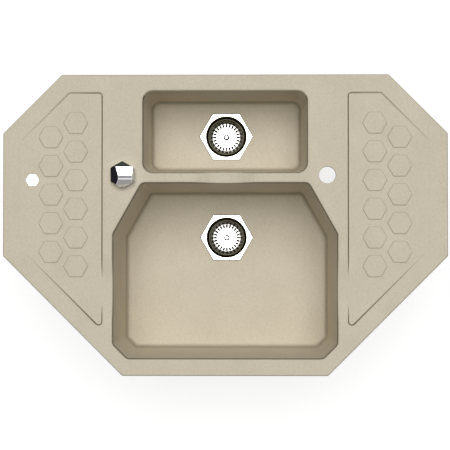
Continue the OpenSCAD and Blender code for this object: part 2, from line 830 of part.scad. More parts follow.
// The guide turns the wire from level to upright. Its plug fills the port and holds the casing's end
module cable_elbow() {
    top_z = pin_bottom_z - lay_gap;
    bottom_z = port_z - elbow_top_r;
    color(plastic) translate(main_waste) difference() {
        union() {
            translate([0, 0, bottom_z]) cylinder(r = elbow_top_r, h = top_z - bottom_z, $fn = round_fn);
            translate([0, 0, port_z]) rotate([0, -90, 0])
                cylinder(r = elbow_r, h = port_end - plug_l / 2, $fn = round_fn);
            translate([-port_end + plug_l, 0, port_z]) rotate([0, -90, 0])
                cylinder(r = port_r - port_wall - run_gap, h = plug_l, $fn = round_fn);
        }
        translate([0, 0, port_z]) rotate([0, -90, 0]) cylinder(r = wire_r, h = port_end, $fn = round_fn);
        translate([-port_end + cable_seat_l, 0, port_z]) rotate([0, -90, 0])
            cylinder(r = cable_bore_r, h = cable_seat_l + over, $fn = round_fn);
        translate([0, 0, port_z]) cylinder(r = wire_r, h = top_z - port_z + over, $fn = round_fn);
    }
}

// A cap nut that holds the cable in a port, with z = 0 at the port's end
module cable_nut(thread_r, thread_l, cap_t, nose_l) {
    difference() {
        union() {
            translate([0, 0, -thread_l]) hexagon(2 * thread_r + 2 * nut_wall, thread_l + cap_t);
            cylinder(r = cable_bore_r + nut_wall, h = nose_l, $fn = round_fn);
        }
        translate([0, 0, -thread_l - over])
            cylinder(r = thread_r + run_gap, h = thread_l + over, $fn = round_fn);
        translate([0, 0, -over]) cylinder(r = cable_bore_r, h = nose_l + 2 * over, $fn = round_fn);
    }
}

module port_nut() {
    color(dark_plastic) translate(main_waste + [-port_end, 0, port_z]) rotate([0, -90, 0])
        cable_nut(port_r, nut_l, nut_cap_t, nut_nose_l);
}

// A smooth curve through the route's points
function route_point(i, t) =
    let (last = len(cable_route) - 1)
    let (a = cable_route[max(i - 1, 0)], b = cable_route[i])
    let (c = cable_route[min(i + 1, last)], d = cable_route[min(i + 2, last)])
    0.5 * (2 * b + (c - a) * t + (2 * a - 5 * b + 4 * c - d) * t * t + (3 * b - a - 3 * c + d) * t * t * t);

module pop_up_cable() {
    last = len(cable_route) - 1;
    path = concat(
        [for (i = [0:last - 1]) for (k = [0:cable_cuts - 1]) route_point(i, k / cable_cuts)],
        [cable_route[last]]
    );
    count = len(path);
    rings = [
        for (i = [0:count - 1])
            let (t = unit(path[min(i + 1, count - 1)] - path[max(i - 1, 0)]))
            let (across = unit(cross([0, 1, 0], t)), up = cross(t, across))
            [for (k = [0:cable_sides - 1]) let (a = k * 360 / cable_sides)
                path[i] + cable_d / 2 * (cos(a) * across + sin(a) * up)]
    ];
    color(plastic) loft(rings);
}

// The knob and its drive

module at_knob() {
    translate([-hole_x, hole_y, 0]) children();
}

// Cuts away what lies above a plane through a point on the knob's top
module knob_facet(at, turn) {
    reach = 2 * knob_af;
    translate(at) rotate(turn) translate([-reach, -reach, 0]) cube([2 * reach, 2 * reach, reach]);
}

// What the curve of the knob's top leaves free, from its brow to the front
module knob_front(top_z) {
    axis_y = knob_curve_r * sin(brow_angle) - knob_brow;
    axis_z = top_z - knob_curve_r * cos(brow_angle);
    reach = 2 * knob_af;
    difference() {
        translate([-knob_af, -knob_brow - reach, axis_z]) cube([2 * knob_af, reach, knob_curve_r]);
        translate([-knob_af - over, axis_y, axis_z]) rotate([0, 90, 0])
            cylinder(r = knob_curve_r, h = 2 * knob_af + 2 * over, $fn = round_fn);
    }
}

// A hexagon with points to the front and the back, facets on three sides and a top that curves to the front
module control_knob() {
    top_z = knob_z + knob_h;
    color(chrome) at_knob() difference() {
        translate([0, 0, knob_z + lay_gap]) rotate([0, 0, 30]) hexagon(knob_af, knob_h - lay_gap);
        knob_facet([-knob_left, 0, top_z], [0, -facet_angle, left_turn]);
        knob_facet([knob_right, 0, top_z], [0, right_angle, right_turn]);
        knob_facet([0, knob_back, top_z], [-facet_angle, 0, 0]);
        knob_front(top_z);
        translate([0, 0, knob_z - over])
            cylinder(r = bush_flange_r + 3 * lay_gap, h = bush_flange_t + 2 * lay_gap + over, $fn = round_fn);
        translate([0, 0, knob_z]) cylinder(r = spindle_bore_r, h = knob_bore_top_z - knob_z, $fn = round_fn);
        translate([0, 0, grub_z]) rotate([0, 90, 0])
            cylinder(r = grub_r + rivet_gap, h = knob_af, $fn = round_fn);
    }
}

module knob_grub_screw() {
    color(steel) at_knob() translate([spindle_bore_r, 0, grub_z]) rotate([0, 90, 0]) difference() {
        cylinder(r = grub_r, h = grub_l, $fn = round_fn);
        translate([0, 0, grub_l - grub_key_depth]) hexagon(grub_key_af, grub_key_depth + over);
    }
}

module control_spindle() {
    color(steel) at_knob() translate([0, 0, spindle_bottom_z])
        cylinder(r = spindle_d / 2, h = spindle_top_z - spindle_bottom_z, $fn = round_fn);
}

module spindle_clip() {
    color(steel) at_knob() translate([0, 0, housing_top_z - clip_t - lay_gap]) difference() {
        tube(spindle_d / 2 + clip_w, spindle_bore_r, clip_t);
        translate([-clip_opening / 2, 0, -over]) cube([clip_opening, spindle_d, clip_t + 2 * over]);
    }
}

// The drum winds the push wire in its groove
module cable_drum() {
    color(plastic) at_knob() translate([0, 0, drum_z - drum_t / 2]) difference() {
        cylinder(r = drum_r, h = drum_t, $fn = round_fn);
        translate([0, 0, drum_t / 2 - wire_r]) tube(drum_r + over, drum_groove_r - wire_r, 2 * wire_r);
        translate([0, 0, -over]) cylinder(r = spindle_bore_r, h = drum_t + 2 * over, $fn = round_fn);
    }
}

module control_bush() {
    color(chrome) at_knob() difference() {
        union() {
            translate([0, 0, bush_top_z - bush_flange_t])
                cylinder(r = bush_flange_r, h = bush_flange_t, $fn = round_fn);
            translate([0, 0, bush_bottom_z])
                cylinder(r = bush_r, h = bush_top_z - bush_flange_t / 2 - bush_bottom_z, $fn = round_fn);
        }
        translate([0, 0, bush_bottom_z - over])
            cylinder(r = spindle_bore_r, h = bush_top_z - bush_bottom_z + 2 * over, $fn = round_fn);
    }
}

module bush_gasket() {
    color(rubber) at_knob() translate([0, 0, deck_t])
        tube(bush_flange_r - lay_gap, bush_r + lay_gap, bush_gasket_t);
}

module under_washer() {
    color(rubber) at_knob() translate([0, 0, washer_z]) tube(washer_out_r, bush_r + lay_gap, washer_t);
}

module control_locknut() {
    color(brass) at_knob() translate([0, 0, washer_z - locknut_t]) difference() {
        hexagon(locknut_af, locknut_t);
        translate([0, 0, -over]) cylinder(r = bush_r + run_gap, h = locknut_t + 2 * over, $fn = round_fn);
    }
}

// Places a child at each of the cover's two screws
module at_cover_screws() {
    for (a = [90, 270])
        rotate([0, 0, a]) translate([housing_r - cover_screw_in, 0, 0]) children();
}

// The housing screws on the bush's lower end and lets the cable out at the side
module drum_housing() {
    inner_r = housing_r - housing_wall;
    color(dark_plastic) at_knob() difference() {
        union() {
            translate([0, 0, housing_bottom_z])
                cylinder(r = housing_r, h = bush_bottom_z - housing_bottom_z, $fn = round_fn);
            translate([0, 0, bush_bottom_z])
                cylinder(r = bush_r + housing_wall, h = housing_collar_h, $fn = round_fn);
            translate([-inner_r, drum_groove_r, drum_z]) rotate([0, -90, 0])
                cylinder(r = housing_port_r, h = housing_port_end - inner_r, $fn = round_fn);
        }
        translate([0, 0, bush_bottom_z])
            cylinder(r = bush_r + run_gap, h = housing_collar_h + over, $fn = round_fn);
        translate([0, 0, housing_bottom_z - over])
            cylinder(r = inner_r, h = housing_top_z - housing_bottom_z + over, $fn = round_fn);
        translate([0, 0, housing_top_z - over])
            cylinder(r = spindle_d / 2 + over, h = bush_bottom_z - housing_top_z + 2 * over, $fn = round_fn);
        translate([0, drum_groove_r, drum_z]) rotate([0, -90, 0])
            cylinder(r = cable_bore_r, h = housing_port_end + over, $fn = round_fn);
        at_cover_screws() translate([0, 0, housing_bottom_z - over])
            cylinder(r = cover_screw_r + rivet_gap, h = cover_screw_l + 2 * over, $fn = round_fn);
    }
}

module housing_cover() {
    color(dark_plastic) at_knob() translate([0, 0, housing_bottom_z - cover_t]) difference() {
        union() {
            cylinder(r = housing_r, h = cover_t, $fn = round_fn);
            translate([0, 0, cover_t])
                cylinder(r = housing_r - housing_wall - lay_gap, h = cover_lip_h, $fn = round_fn);
        }
        at_cover_screws() translate([0, 0, -over])
            cylinder(r = cover_screw_r + rivet_gap, h = cover_t + 2 * over, $fn = round_fn);
    }
}

module cover_screws() {
    color(steel) at_knob() at_cover_screws() translate([0, 0, housing_bottom_z - cover_t]) union() {
        cylinder(r = cover_screw_r, h = cover_t + cover_screw_l, $fn = round_fn);
        translate([0, 0, -cover_head_t]) cylinder(r = cover_head_r, h = cover_head_t, $fn = round_fn);
    }
}

module housing_nut() {
    color(brass) at_knob() translate([-housing_port_end, drum_groove_r, drum_z]) rotate([0, -90, 0])
        cable_nut(housing_port_r, housing_nut_l, housing_nut_cap_t, housing_nut_nose_l);
}

// The clamps that pull the rim down on the worktop

// Level of the sink's underside above the inner edge of a clamp's heel
function underside(place) =
    let (x = abs(place.x) + heel_u * abs(cos(place.z)) - clamp_w / 2 * abs(sin(place.z)))
    x > drain_x - drain_step_w ? -drain_fall(-min(x, drain_out_x)) : seat_relief;

// Places a child at each clamp's screw, and tells it the level of the underside
module at_clamps() {
    for (place = clamp_places)
        let ($underside = underside(place))
            translate([place.x, place.y, 0]) rotate([0, 0, place.z]) children();
}

module rim_clamps() {
    plate_z = clamp_z - clamp_t;
    color(steel) at_clamps() difference() {
        union() {
            translate([heel_u, -clamp_w / 2, plate_z]) cube([toe_u - heel_u, clamp_w, clamp_t]);
            translate([heel_u, -clamp_w / 2, plate_z])
                cube([clamp_t, clamp_w, $underside - lay_gap - plate_z]);
            translate([toe_u - clamp_t, -clamp_w / 2, plate_z]) cube([clamp_t, clamp_w, clamp_t + toe_h]);
        }
        translate([0, 0, plate_z - over])
            cylinder(r = clamp_screw_d / 2 + lay_gap, h = clamp_t + 2 * over, $fn = round_fn);
    }
}

module clamp_screws() {
    plate_z = clamp_z - clamp_t;
    tip_z = -clamp_boss_h + insert_l - 1;
    color(steel) at_clamps() union() {
        translate([0, 0, plate_z]) cylinder(r = clamp_screw_d / 2, h = tip_z - plate_z, $fn = round_fn);
        translate([0, 0, plate_z - clamp_head_t]) hexagon(clamp_head_af, clamp_head_t);
    }
}

module clamp_inserts() {
    color(brass) at_clamps() translate([0, 0, -clamp_boss_h])
        tube(insert_r, clamp_screw_d / 2 + run_gap, insert_l);
}

sink_body();
blank_badge();
translate(main_waste) waste_flange();  // main_waste_flange
translate(main_waste) flange_seal();  // main_flange_seal
translate(main_waste) floor_gasket();  // main_floor_gasket
main_waste_body();
main_hollow_screw();
translate(main_waste) strainer_basket();  // main_basket
translate(main_waste) basket_stem();  // main_basket_stem
translate(main_waste) stopper_seal();  // main_stopper_seal
translate(small_waste) waste_flange();  // small_waste_flange
translate(small_waste) flange_seal();  // small_flange_seal
translate(small_waste) floor_gasket();  // small_floor_gasket
small_waste_body();
small_centre_screw();
translate(small_waste) strainer_basket();  // small_basket
translate(small_waste) basket_stem();  // small_basket_stem
translate(small_waste) stopper_seal();  // small_stopper_seal
lift_pin();
cable_elbow();
port_nut();
pop_up_cable();
control_knob();
knob_grub_screw();
control_spindle();
spindle_clip();
cable_drum();
control_bush();
bush_gasket();
under_washer();
control_locknut();
drum_housing();
housing_cover();
cover_screws();
housing_nut();
rim_clamps();
clamp_screws();
clamp_inserts();
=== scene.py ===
# %% [markdown]
# A kitchen sink of cast quartz, for a corner of the worktop, seen from straight above.
# The CAD model is loaded first and stays where it is: its nodes move with the joints. This lesson gives it
# better surfaces, and dresses the pieces that show most in finer meshes of the same size and place.

# %% The frame
from collections import Counter
from contextlib import contextmanager
from math import acos, atan2, cos, pi, radians, sin, sqrt, tan

import bmesh
import bpy
import numpy as np
from mathutils import Matrix, Vector
from mathutils.geometry import delaunay_2d_cdt


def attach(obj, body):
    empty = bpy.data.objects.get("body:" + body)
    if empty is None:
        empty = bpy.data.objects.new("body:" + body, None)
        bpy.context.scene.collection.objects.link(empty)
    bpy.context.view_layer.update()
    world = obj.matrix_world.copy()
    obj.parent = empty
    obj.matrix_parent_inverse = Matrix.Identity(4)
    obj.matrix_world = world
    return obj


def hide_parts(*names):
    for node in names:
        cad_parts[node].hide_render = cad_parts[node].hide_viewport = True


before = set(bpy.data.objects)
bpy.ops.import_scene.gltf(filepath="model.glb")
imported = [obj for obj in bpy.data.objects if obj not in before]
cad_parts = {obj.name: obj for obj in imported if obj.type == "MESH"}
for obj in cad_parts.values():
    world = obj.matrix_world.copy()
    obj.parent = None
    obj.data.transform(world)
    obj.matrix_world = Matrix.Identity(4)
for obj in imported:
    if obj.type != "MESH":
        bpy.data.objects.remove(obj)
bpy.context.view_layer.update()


def new_object(name, data):
    """Puts a mesh, a lamp or a camera into the scene."""
    obj = bpy.data.objects.new(name, data)
    bpy.context.scene.collection.objects.link(obj)
    return obj


# %% [markdown]
# The shapes are drawn in millimetres, like the CAD source, because a sink is dimensioned that way. A mesh is
# turned into metres when it is made, and a single length by multiplying it with MM. The sizes below are the
# sizes of the real sink, and the levels are heights above the worktop.

# %% Sizes of the sink
MM = 0.001
deck_w = 930
deck_d = 630
deck_t = 9
back_cut = 123
front_cut = 250
deck_corner_r = 8
deck_edge_r = 3
seat_w = 14
seat_relief = 1
main_w = 470
main_l = 367.6
main_depth = 200
main_back_w = 350
main_slant_l = 107
main_front_cut = 30
main_corner_r = 14
small_w = 344
small_l = 171.4
small_depth = 150
small_corner_r = 21
divider_w = 21.4
divider_y = 99
wall_t = 9
floor_t = 10
draft = radians(4)
lip_r = 3.5
floor_fillet_r = 16

main_back_y = divider_y - divider_w / 2
main_front_y = main_back_y - main_l
small_front_y = divider_y + divider_w / 2
small_back_y = small_front_y + small_l
main_waste_setback = 112.3

# %% Sizes of the dips and the drainboards
saddle_depth = 12
saddle_flat = 48
saddle_slope = 41
spill_w = 20.6
spill_y = 136
spill_flat = 48
spill_slope = 43
crest_r = 2.5
drain_margin = 36
drain_depth = 6
drain_lip = 0.4
drain_step_w = 4
drain_corner_r = 5
hex_pitch = 60
hex_af = 44.5
hex_h = 1.3
hex_count = 6
hex_inner_gap = 57.4
hex_back_gap = 65
hole_r = 17.5
hole_setback = 5.5
badge_af = 24
badge_t = 1.6
badge_gap = 38.5
badge_row = 2

drain_x = main_w / 2 + spill_w
drain_out_x = deck_w / 2 - drain_margin
drain_back_y = deck_d / 2 - drain_margin
drain_back_sum = deck_w / 2 + deck_d / 2 - back_cut - drain_margin * sqrt(2)
drain_front_sum = deck_w / 2 + deck_d / 2 - front_cut - drain_margin * sqrt(2)
drain_slope = (drain_depth - drain_lip) / (drain_out_x - drain_x)
hole_x = (drain_x + small_w / 2) / 2
hole_y = divider_y + hole_setback
hex_x = drain_x + hex_inner_gap
hex_outer_x = hex_x + hex_pitch * cos(pi / 6)
hex_y = drain_back_y - hex_back_gap
badge_x = -hex_outer_x - badge_gap
badge_y = hex_y - badge_row * hex_pitch

# %% Sizes of the wastes and the knob
waste_r = 45
plate_af = 100
plate_t = 1.8
rebate_depth = 2.2
seal_t = 0.8
cup_ledge = 31
cup_sump = 6
sheet_t = 1
mouth_r = 2.5
stopper_r = 37
stopper_t = 3
lay_gap = 0.3
basket_r = 39.5
basket_bottom_r = 31
basket_h = 21
slot_count = 24
slot_w = 3.2
slot_inner_r = 22
slot_outer_r = 29
stem_r = 6.5
stem_h = 11
shank_r = 2.55
knob_af = 50
knob_h = 26
knob_left = 8.5
knob_right = 21.5
knob_back = 16
knob_brow = 2
knob_curve_r = 40
knob_z = deck_t + 1
main_waste = Vector((0, main_back_y - main_waste_setback, deck_t - main_depth))
small_waste = Vector((0, (small_front_y + small_back_y) / 2, deck_t - small_depth))
print("wastes at", tuple(main_waste), tuple(small_waste))

# %% [markdown]
# The camera hangs 3.5 m above the deck, a little to the right and to the front, as the photograph's inner
# walls show: more of the left walls and of the back walls is seen than of the others. It is aimed at the
# deck's middle, and its lens makes the picture's width the width that the photograph shows at the deck's
# level.

# %% Camera
photo_pixels, mm_per_pixel = 450, 2.0885
photo_width = photo_pixels * mm_per_pixel * MM
aim = Vector((0, 0, deck_t * MM))
camera_at = aim + Vector((0.065, -0.069, 3.5))
sight = (camera_at - aim).normalized()
right = Vector((0, 1, 0)).cross(sight).normalized()
camera_data = bpy.data.cameras.new("studio_camera")
camera_data.lens = camera_data.sensor_width * (camera_at - aim).length / photo_width
camera = new_object("studio_camera", camera_data)
camera.matrix_world = (Matrix.Translation(camera_at)
                       @ Matrix((right, sight.cross(right), sight)).transposed().to_4x4())
bpy.context.scene.camera = camera
bpy.context.scene.view_settings.view_transform = "Standard"
print("lens:", round(camera_data.lens, 1), "mm")

# %% [markdown]
# Every material and every repeated shape is a tree of nodes. A small wrapper writes a tree one node at a
# time: each node gets its settings and its inputs in one call, and an input that is another node's output
# is linked. The kinds of nodes that come up again and again have short calls of their own.

# %% Helper for node trees
class Tree:
    """Writes a node tree, one node in each call."""

    def __init__(self, tree):
        self.tree = tree
        self.start = next((n for n in tree.nodes if n.bl_idname == "NodeGroupInput"), None)

    def add(self, kind, inputs=None, **settings):
        node = self.tree.nodes.new(kind)
        for name, value in settings.items():
            setattr(node, name, value)
        for socket, value in (inputs or {}).items():
            for one in value if isinstance(value, list) else [value]:
                if isinstance(one, bpy.types.NodeSocket):
                    self.tree.links.new(one, node.inputs[socket])
                else:
                    node.inputs[socket].default_value = one
        return node

    def out(self, kind, inputs=None, **settings):
        """Adds a node of which only the first output is needed."""
        return self.add(kind, inputs, **settings).outputs[0]

    def coord(self, kind):
        return self.add("ShaderNodeTexCoord").outputs[kind]

    def math(self, operation, a, b=0.0):
        return self.out("ShaderNodeMath", {0: a, 1: b}, operation=operation)

    def vector_math(self, operation, a, b=(0, 0, 0)):
        return self.add("ShaderNodeVectorMath", {0: a, 1: b}, operation=operation).outputs

    def parts(self, vector):
        """The X, Y and Z of a vector."""
        return self.add("ShaderNodeSeparateXYZ", {0: vector}).outputs

    def ramp(self, value, start, end, low=0.0, high=1.0):
        """A number that goes from low to high as the value goes from start to end."""
        return self.out("ShaderNodeMapRange", {"Value": value, "From Min": start, "From Max": end,
                                               "To Min": low, "To Max": high})

    def mix(self, share, colour, other):
        """A colour with a share of another one."""
        return self.add("ShaderNodeMix", {"Factor": share, 6: colour, 7: other}, data_type="RGBA").outputs[2]

    def link(self, output, node, socket):
        self.tree.links.new(output, self.tree.nodes[node].inputs[socket])

    def given(self, name):
        """The value of one of the group's own inputs."""
        return self.start.outputs[name]


def new_group(name, kind, inputs, outputs):
    """A group of nodes. Its inputs and outputs are names with the kinds of their sockets."""
    group = bpy.data.node_groups.new(name, kind)
    for way, sockets in (("INPUT", inputs), ("OUTPUT", outputs)):
        for label, socket in sockets.items():
            group.interface.new_socket(name=label, in_out=way, socket_type="NodeSocket" + socket)
    group.nodes.new("NodeGroupInput")
    return Tree(group)


def new_material(name):
    material = bpy.data.materials.new(name)
    material.use_nodes = True
    return material, Tree(material.node_tree)


def linear(red, green, blue):
    """A screen colour of 0 to 255 as the light values that a shader takes."""
    return tuple(((c / 255 + 0.055) / 1.055) ** 2.4 if c > 10 else c / 255 / 12.92
                 for c in (red, green, blue)) + (1.0,)


# %% [markdown]
# A studio picture of a sink has a white ground and soft light. The floor and the world show white to the
# camera and in reflections, but light the sink at a plain level, so that a colour renders about as it is
# written. Most of the light falls steeply, from a broad source a little behind the sink: the floors are
# nearly as light as the deck, and the walls that face the source are lighter than the others. Dark cards on
# the left and behind, and paler ones in front, are seen only by gloss, and give the knob its dark facets
# and the bands on its front.

# %% Floor, world and lamps
floor_z = -0.3


def white_ground_material():
    material, tree = new_material("white_ground")
    rays = tree.add("ShaderNodeLightPath").outputs
    seen = tree.math("MAXIMUM", rays["Is Camera Ray"], rays["Is Glossy Ray"])
    shaded = tree.out("ShaderNodeBsdfDiffuse", {"Color": (0.3, 0.3, 0.3, 1)})
    bounce = tree.out("ShaderNodeBsdfDiffuse", {"Color": (0.75, 0.75, 0.74, 1)})
    glow = tree.out("ShaderNodeEmission", {"Color": (1, 1, 1, 1), "Strength": 0.8})
    bright = tree.out("ShaderNodeAddShader", {0: shaded, 1: glow})
    tree.link(tree.out("ShaderNodeMixShader", {0: seen, 1: bounce, 2: bright}), "Material Output", "Surface")
    return material


def card_material(name, tone):
    material, tree = new_material(name)
    glow = tree.out("ShaderNodeEmission", {"Color": linear(*tone), "Strength": 1.0})
    tree.link(glow, "Material Output", "Surface")
    return material


def stage_plane(name, width, depth, place, turn, material):
    mesh = bpy.data.meshes.new(name)
    w, d = width / 2, depth / 2
    mesh.from_pydata([(-w, -d, 0), (w, -d, 0), (w, d, 0), (-w, d, 0)], [], [(0, 1, 2, 3)])
    mesh.materials.append(material)
    obj = new_object(name, mesh)
    obj.location = place
    obj.rotation_euler = turn
    return obj


stage_plane("studio_floor", 14, 14, (0, 0, floor_z), (0, 0, 0), white_ground_material())

for card_name, width, depth, card_place, card_turn, tone in [
    ("left_card", 1.1, 1.1, (-1.1, 0.1, 0.25), (0, radians(90), 0), (38, 36, 40)),
    ("back_card", 1.1, 1.1, (-0.2, 1.3, 0.25), (radians(90), 0, 0), (70, 75, 70)),
    ("high_front_card", 0.7, 0.4, (-0.3, -0.36, 1.3), (radians(19), 0, 0), (168, 164, 164)),
    ("low_front_card", 1.0, 0.9, (-0.3, -0.99, 0.74), (radians(57), 0, 0), (176, 172, 170)),
    ("front_card", 1.4, 0.36, (-0.3, -1.3, 0.16), (radians(90), 0, 0), (200, 190, 170)),
]:
    card = stage_plane(card_name, width, depth, card_place, card_turn, card_material(card_name, tone))
    card.visible_camera = False
    card.visible_diffuse = False
    card.visible_shadow = False

world = bpy.data.worlds.new("white_studio")
bpy.context.scene.world = world
world.use_nodes = True
sky = Tree(world.node_tree)
sky.tree.nodes.clear()
sky_rays = sky.add("ShaderNodeLightPath").outputs
sky_seen = sky.math("MAXIMUM", sky_rays["Is Camera Ray"], sky_rays["Is Glossy Ray"])
sky_seen = sky.math("MAXIMUM", sky_seen, sky_rays["Is Transmission Ray"])
sky_light = sky.out("ShaderNodeBackground", {"Color": (1, 1, 1, 1), "Strength": 0.13})
sky_white = sky.out("ShaderNodeBackground", {"Color": (1, 1, 1, 1), "Strength": 1})
sky_both = sky.out("ShaderNodeMixShader", {0: sky_seen, 1: sky_light, 2: sky_white})
sky.add("ShaderNodeOutputWorld", {"Surface": sky_both})

key_from = Vector((0.02, 0.28, 1))
key_data = bpy.data.lights.new("key_light", "SUN")
key_data.angle = radians(50)
key_data.energy = 2.43
key_light = new_object("key_light", key_data)
key_light.location = key_from * 3
key_light.rotation_euler = key_from.to_track_quat("Z", "Y").to_euler()

# %% [markdown]
# A real surface is never one flat colour. Cast stone has grains, steel has fine lines from its polishing,
# and moulded plastic has a dull skin. What several finishes share is made once, as a group of nodes: one
# that lets colour and gloss wander a little, one that draws the rings that turning or spinning leaves on
# metal, and one that paints shade and dark reflections into the colour of steep walls and of the ring between
# basket and plate, where polished walls that face each other mirror only each other and the dark below.

# %% Shared effects for the materials
def make_surface_life():
    """Colour and roughness that wander a little, and a fine grain for the bump."""
    tree = new_group("surface_life", "ShaderNodeTree", {
        "Colour": "Color", "Second colour": "Color", "Smooth": "Float", "Rough": "Float", "Patches": "Float",
        "Grain": "Float",
    }, {"Colour": "Color", "Roughness": "Float", "Height": "Float"})
    place = tree.coord("Object")
    patches = tree.out("ShaderNodeTexNoise", {"Vector": place, "Scale": tree.given("Patches"), "Detail": 4.0})
    grain = tree.out("ShaderNodeTexNoise", {"Vector": place, "Scale": tree.given("Grain"), "Detail": 2.0})
    tree.add("NodeGroupOutput", {
        "Colour": tree.mix(tree.ramp(patches, 0.3, 0.7), tree.given("Colour"), tree.given("Second colour")),
        "Roughness": tree.ramp(patches, 0.3, 0.7, tree.given("Smooth"), tree.given("Rough")),
        "Height": grain,
    })
    return tree.tree


def from_axis(tree):
    """The distance from the upright axis through the group's centre, and the way from the centre."""
    away = tree.vector_math("SUBTRACT", tree.coord("Object"), tree.given("Centre"))[0]
    across = tree.vector_math("MULTIPLY", away, (1, 1, 0))[0]
    return tree.vector_math("LENGTH", across)["Value"], away


def make_turned_rings():
    """Fine rings round an upright axis, as a lathe or a polishing wheel leaves them."""
    tree = new_group("turned_rings", "ShaderNodeTree", {"Centre": "Vector"}, {"Height": "Float"})
    radius, away = from_axis(tree)
    along = tree.out("ShaderNodeCombineXYZ", {"X": radius, "Y": tree.parts(away)["Z"]})
    lines = tree.out("ShaderNodeTexNoise", {"Vector": along, "Scale": 900.0, "Detail": 1.0})
    tree.add("NodeGroupOutput", {"Height": lines})
    return tree.tree


def make_painted_steep_shade():
    """Painted shade and dark reflections: darker colours on steep faces and in a ring round an upright axis.
    """
    tree = new_group("steep_tint", "ShaderNodeTree", {
        "Colour": "Color", "Steep shade colour": "Color", "Ring shade colour": "Color", "Centre": "Vector",
        "Inner": "Float", "Outer": "Float",
    }, {"Colour": "Color"})
    # Steep faces take the steep colour as painted shade, and the ring round the axis takes the ring colour as
    # a painted dark reflection.
    upright = tree.math("ABSOLUTE", tree.parts(tree.coord("Normal"))["Z"])
    steep = tree.ramp(upright, 0.8, 0.985, 1.0, 0.0)
    shaded_steep = tree.mix(steep, tree.given("Colour"), tree.given("Steep shade colour"))
    radius, _ = from_axis(tree)
    in_ring = tree.math("MULTIPLY", tree.math("GREATER_THAN", radius, tree.given("Inner")),
                        tree.math("LESS_THAN", radius, tree.given("Outer")))
    tree.add("NodeGroupOutput", {"Colour": tree.mix(in_ring, shaded_steep, tree.given("Ring shade colour"))})
    return tree.tree


def coat(tree, colour, roughness, height, strength, distance):
    """Gives a material's shader its colour, its gloss and its bump."""
    bump = tree.out("ShaderNodeBump", {"Strength": strength, "Distance": distance, "Height": height})
    for socket, value in (("Base Color", colour), ("Roughness", roughness), ("Normal", bump)):
        tree.link(value, "Principled BSDF", socket)
    return tree.tree.nodes["Principled BSDF"]


surface_life = make_surface_life()
turned_rings = make_turned_rings()
steep_tint = make_painted_steep_shade()


# %% [markdown]
# Composite quartz is crushed stone in resin, cast in a mould. Close up it is a pale mass with grains a
# little lighter and darker, and it has a satin face that catches broad highlights. The grains are cells of
# a Voronoi texture, whose own random colours pick the few that differ. Painted shade darkens two kinds of
# places beyond what the light gives them: the steep little faces along edges and steps at the deck's level,
# and the crease where a bowl's wall turns into its floor. Both are found by how steep the surface is there,
# and at what level. The back steps of the drainboards face the front and get no painted shade.

# %% Quartz
def quartz_material():
    material, tree = new_material("cast_quartz")
    life = tree.add("ShaderNodeGroup", {
        "Colour": linear(206, 196, 175), "Second colour": linear(202, 192, 171), "Smooth": 0.5, "Rough": 0.58,
        "Patches": 14.0, "Grain": 1500.0,
    }, node_tree=surface_life).outputs
    place = tree.coord("Object")
    grains = tree.add("ShaderNodeTexVoronoi", {"Vector": place, "Scale": 620.0}).outputs["Color"]
    pick = tree.out("ShaderNodeSeparateColor", {0: grains})
    dark = tree.math("MULTIPLY", tree.math("GREATER_THAN", pick, 0.84), 0.14)
    light = tree.math("MULTIPLY", tree.math("LESS_THAN", pick, 0.1), 0.16)
    stone = tree.mix(light, tree.mix(dark, life["Colour"], linear(150, 138, 118)), linear(236, 231, 220))

    x, y, level = tree.parts(place)
    _, backwards, upwards = tree.parts(tree.coord("Normal"))
    upright = tree.math("ABSOLUTE", upwards)
    # Painted shade: steep faces near the deck's level get it, except the back steps of the drainboards that
    # face the front, and so does the crease where a bowl's wall meets its floor.
    near_deck = tree.ramp(level, -0.008, 0.001)
    step = tree.ramp(upright, 0.45, 0.985, 0.85, 0.0)
    to_front = tree.ramp(backwards, -0.45, -0.1, 1.0, 0.0)
    slanted = tree.math("ADD", tree.math("ABSOLUTE", x), y)
    behind = tree.math("MAXIMUM", tree.math("GREATER_THAN", y, (drain_back_y - 2 * drain_step_w) * MM),
                       tree.math("GREATER_THAN", slanted, (drain_back_sum - 3 * drain_step_w) * MM))
    elsewhere = tree.math("SUBTRACT", 1.0, tree.math("MULTIPLY", behind, to_front))
    at_deck = tree.math("MULTIPLY", near_deck, elsewhere)
    deep = tree.ramp(level, -0.11, -0.12)
    off_crease = tree.math("ABSOLUTE", tree.math("SUBTRACT", upright, 0.5))
    crease_shade = tree.ramp(off_crease, 0.15, 0.42, 0.45, 0.0)
    shade = tree.math("ADD", tree.math("MULTIPLY", at_deck, step), tree.math("MULTIPLY", deep, crease_shade))
    # The painted shade's colour is mixed into the stone by that share.
    shown = tree.mix(shade, stone, linear(92, 84, 62))
    shader = coat(tree, shown, life["Roughness"], life["Height"], 0.12, 0.0004)
    shader.inputs["Specular IOR Level"].default_value = 0.28
    return material


quartz = quartz_material()

# %% [markdown]
# The other finishes differ in colour, gloss and grain, so one function makes them all. The steel of each
# waste was spun round an axis, so it gets fine rings centred on that axis, and a ring of painted shade and
# dark reflection on the same centre, between basket and plate. Its steep faces, like those of the turned
# chrome, get painted shade too.

# %% Metals, rubber and plastics
# The colour of the ring of painted shade and dark reflection between basket and plate.
ring_shade_colour = (86, 82, 66)


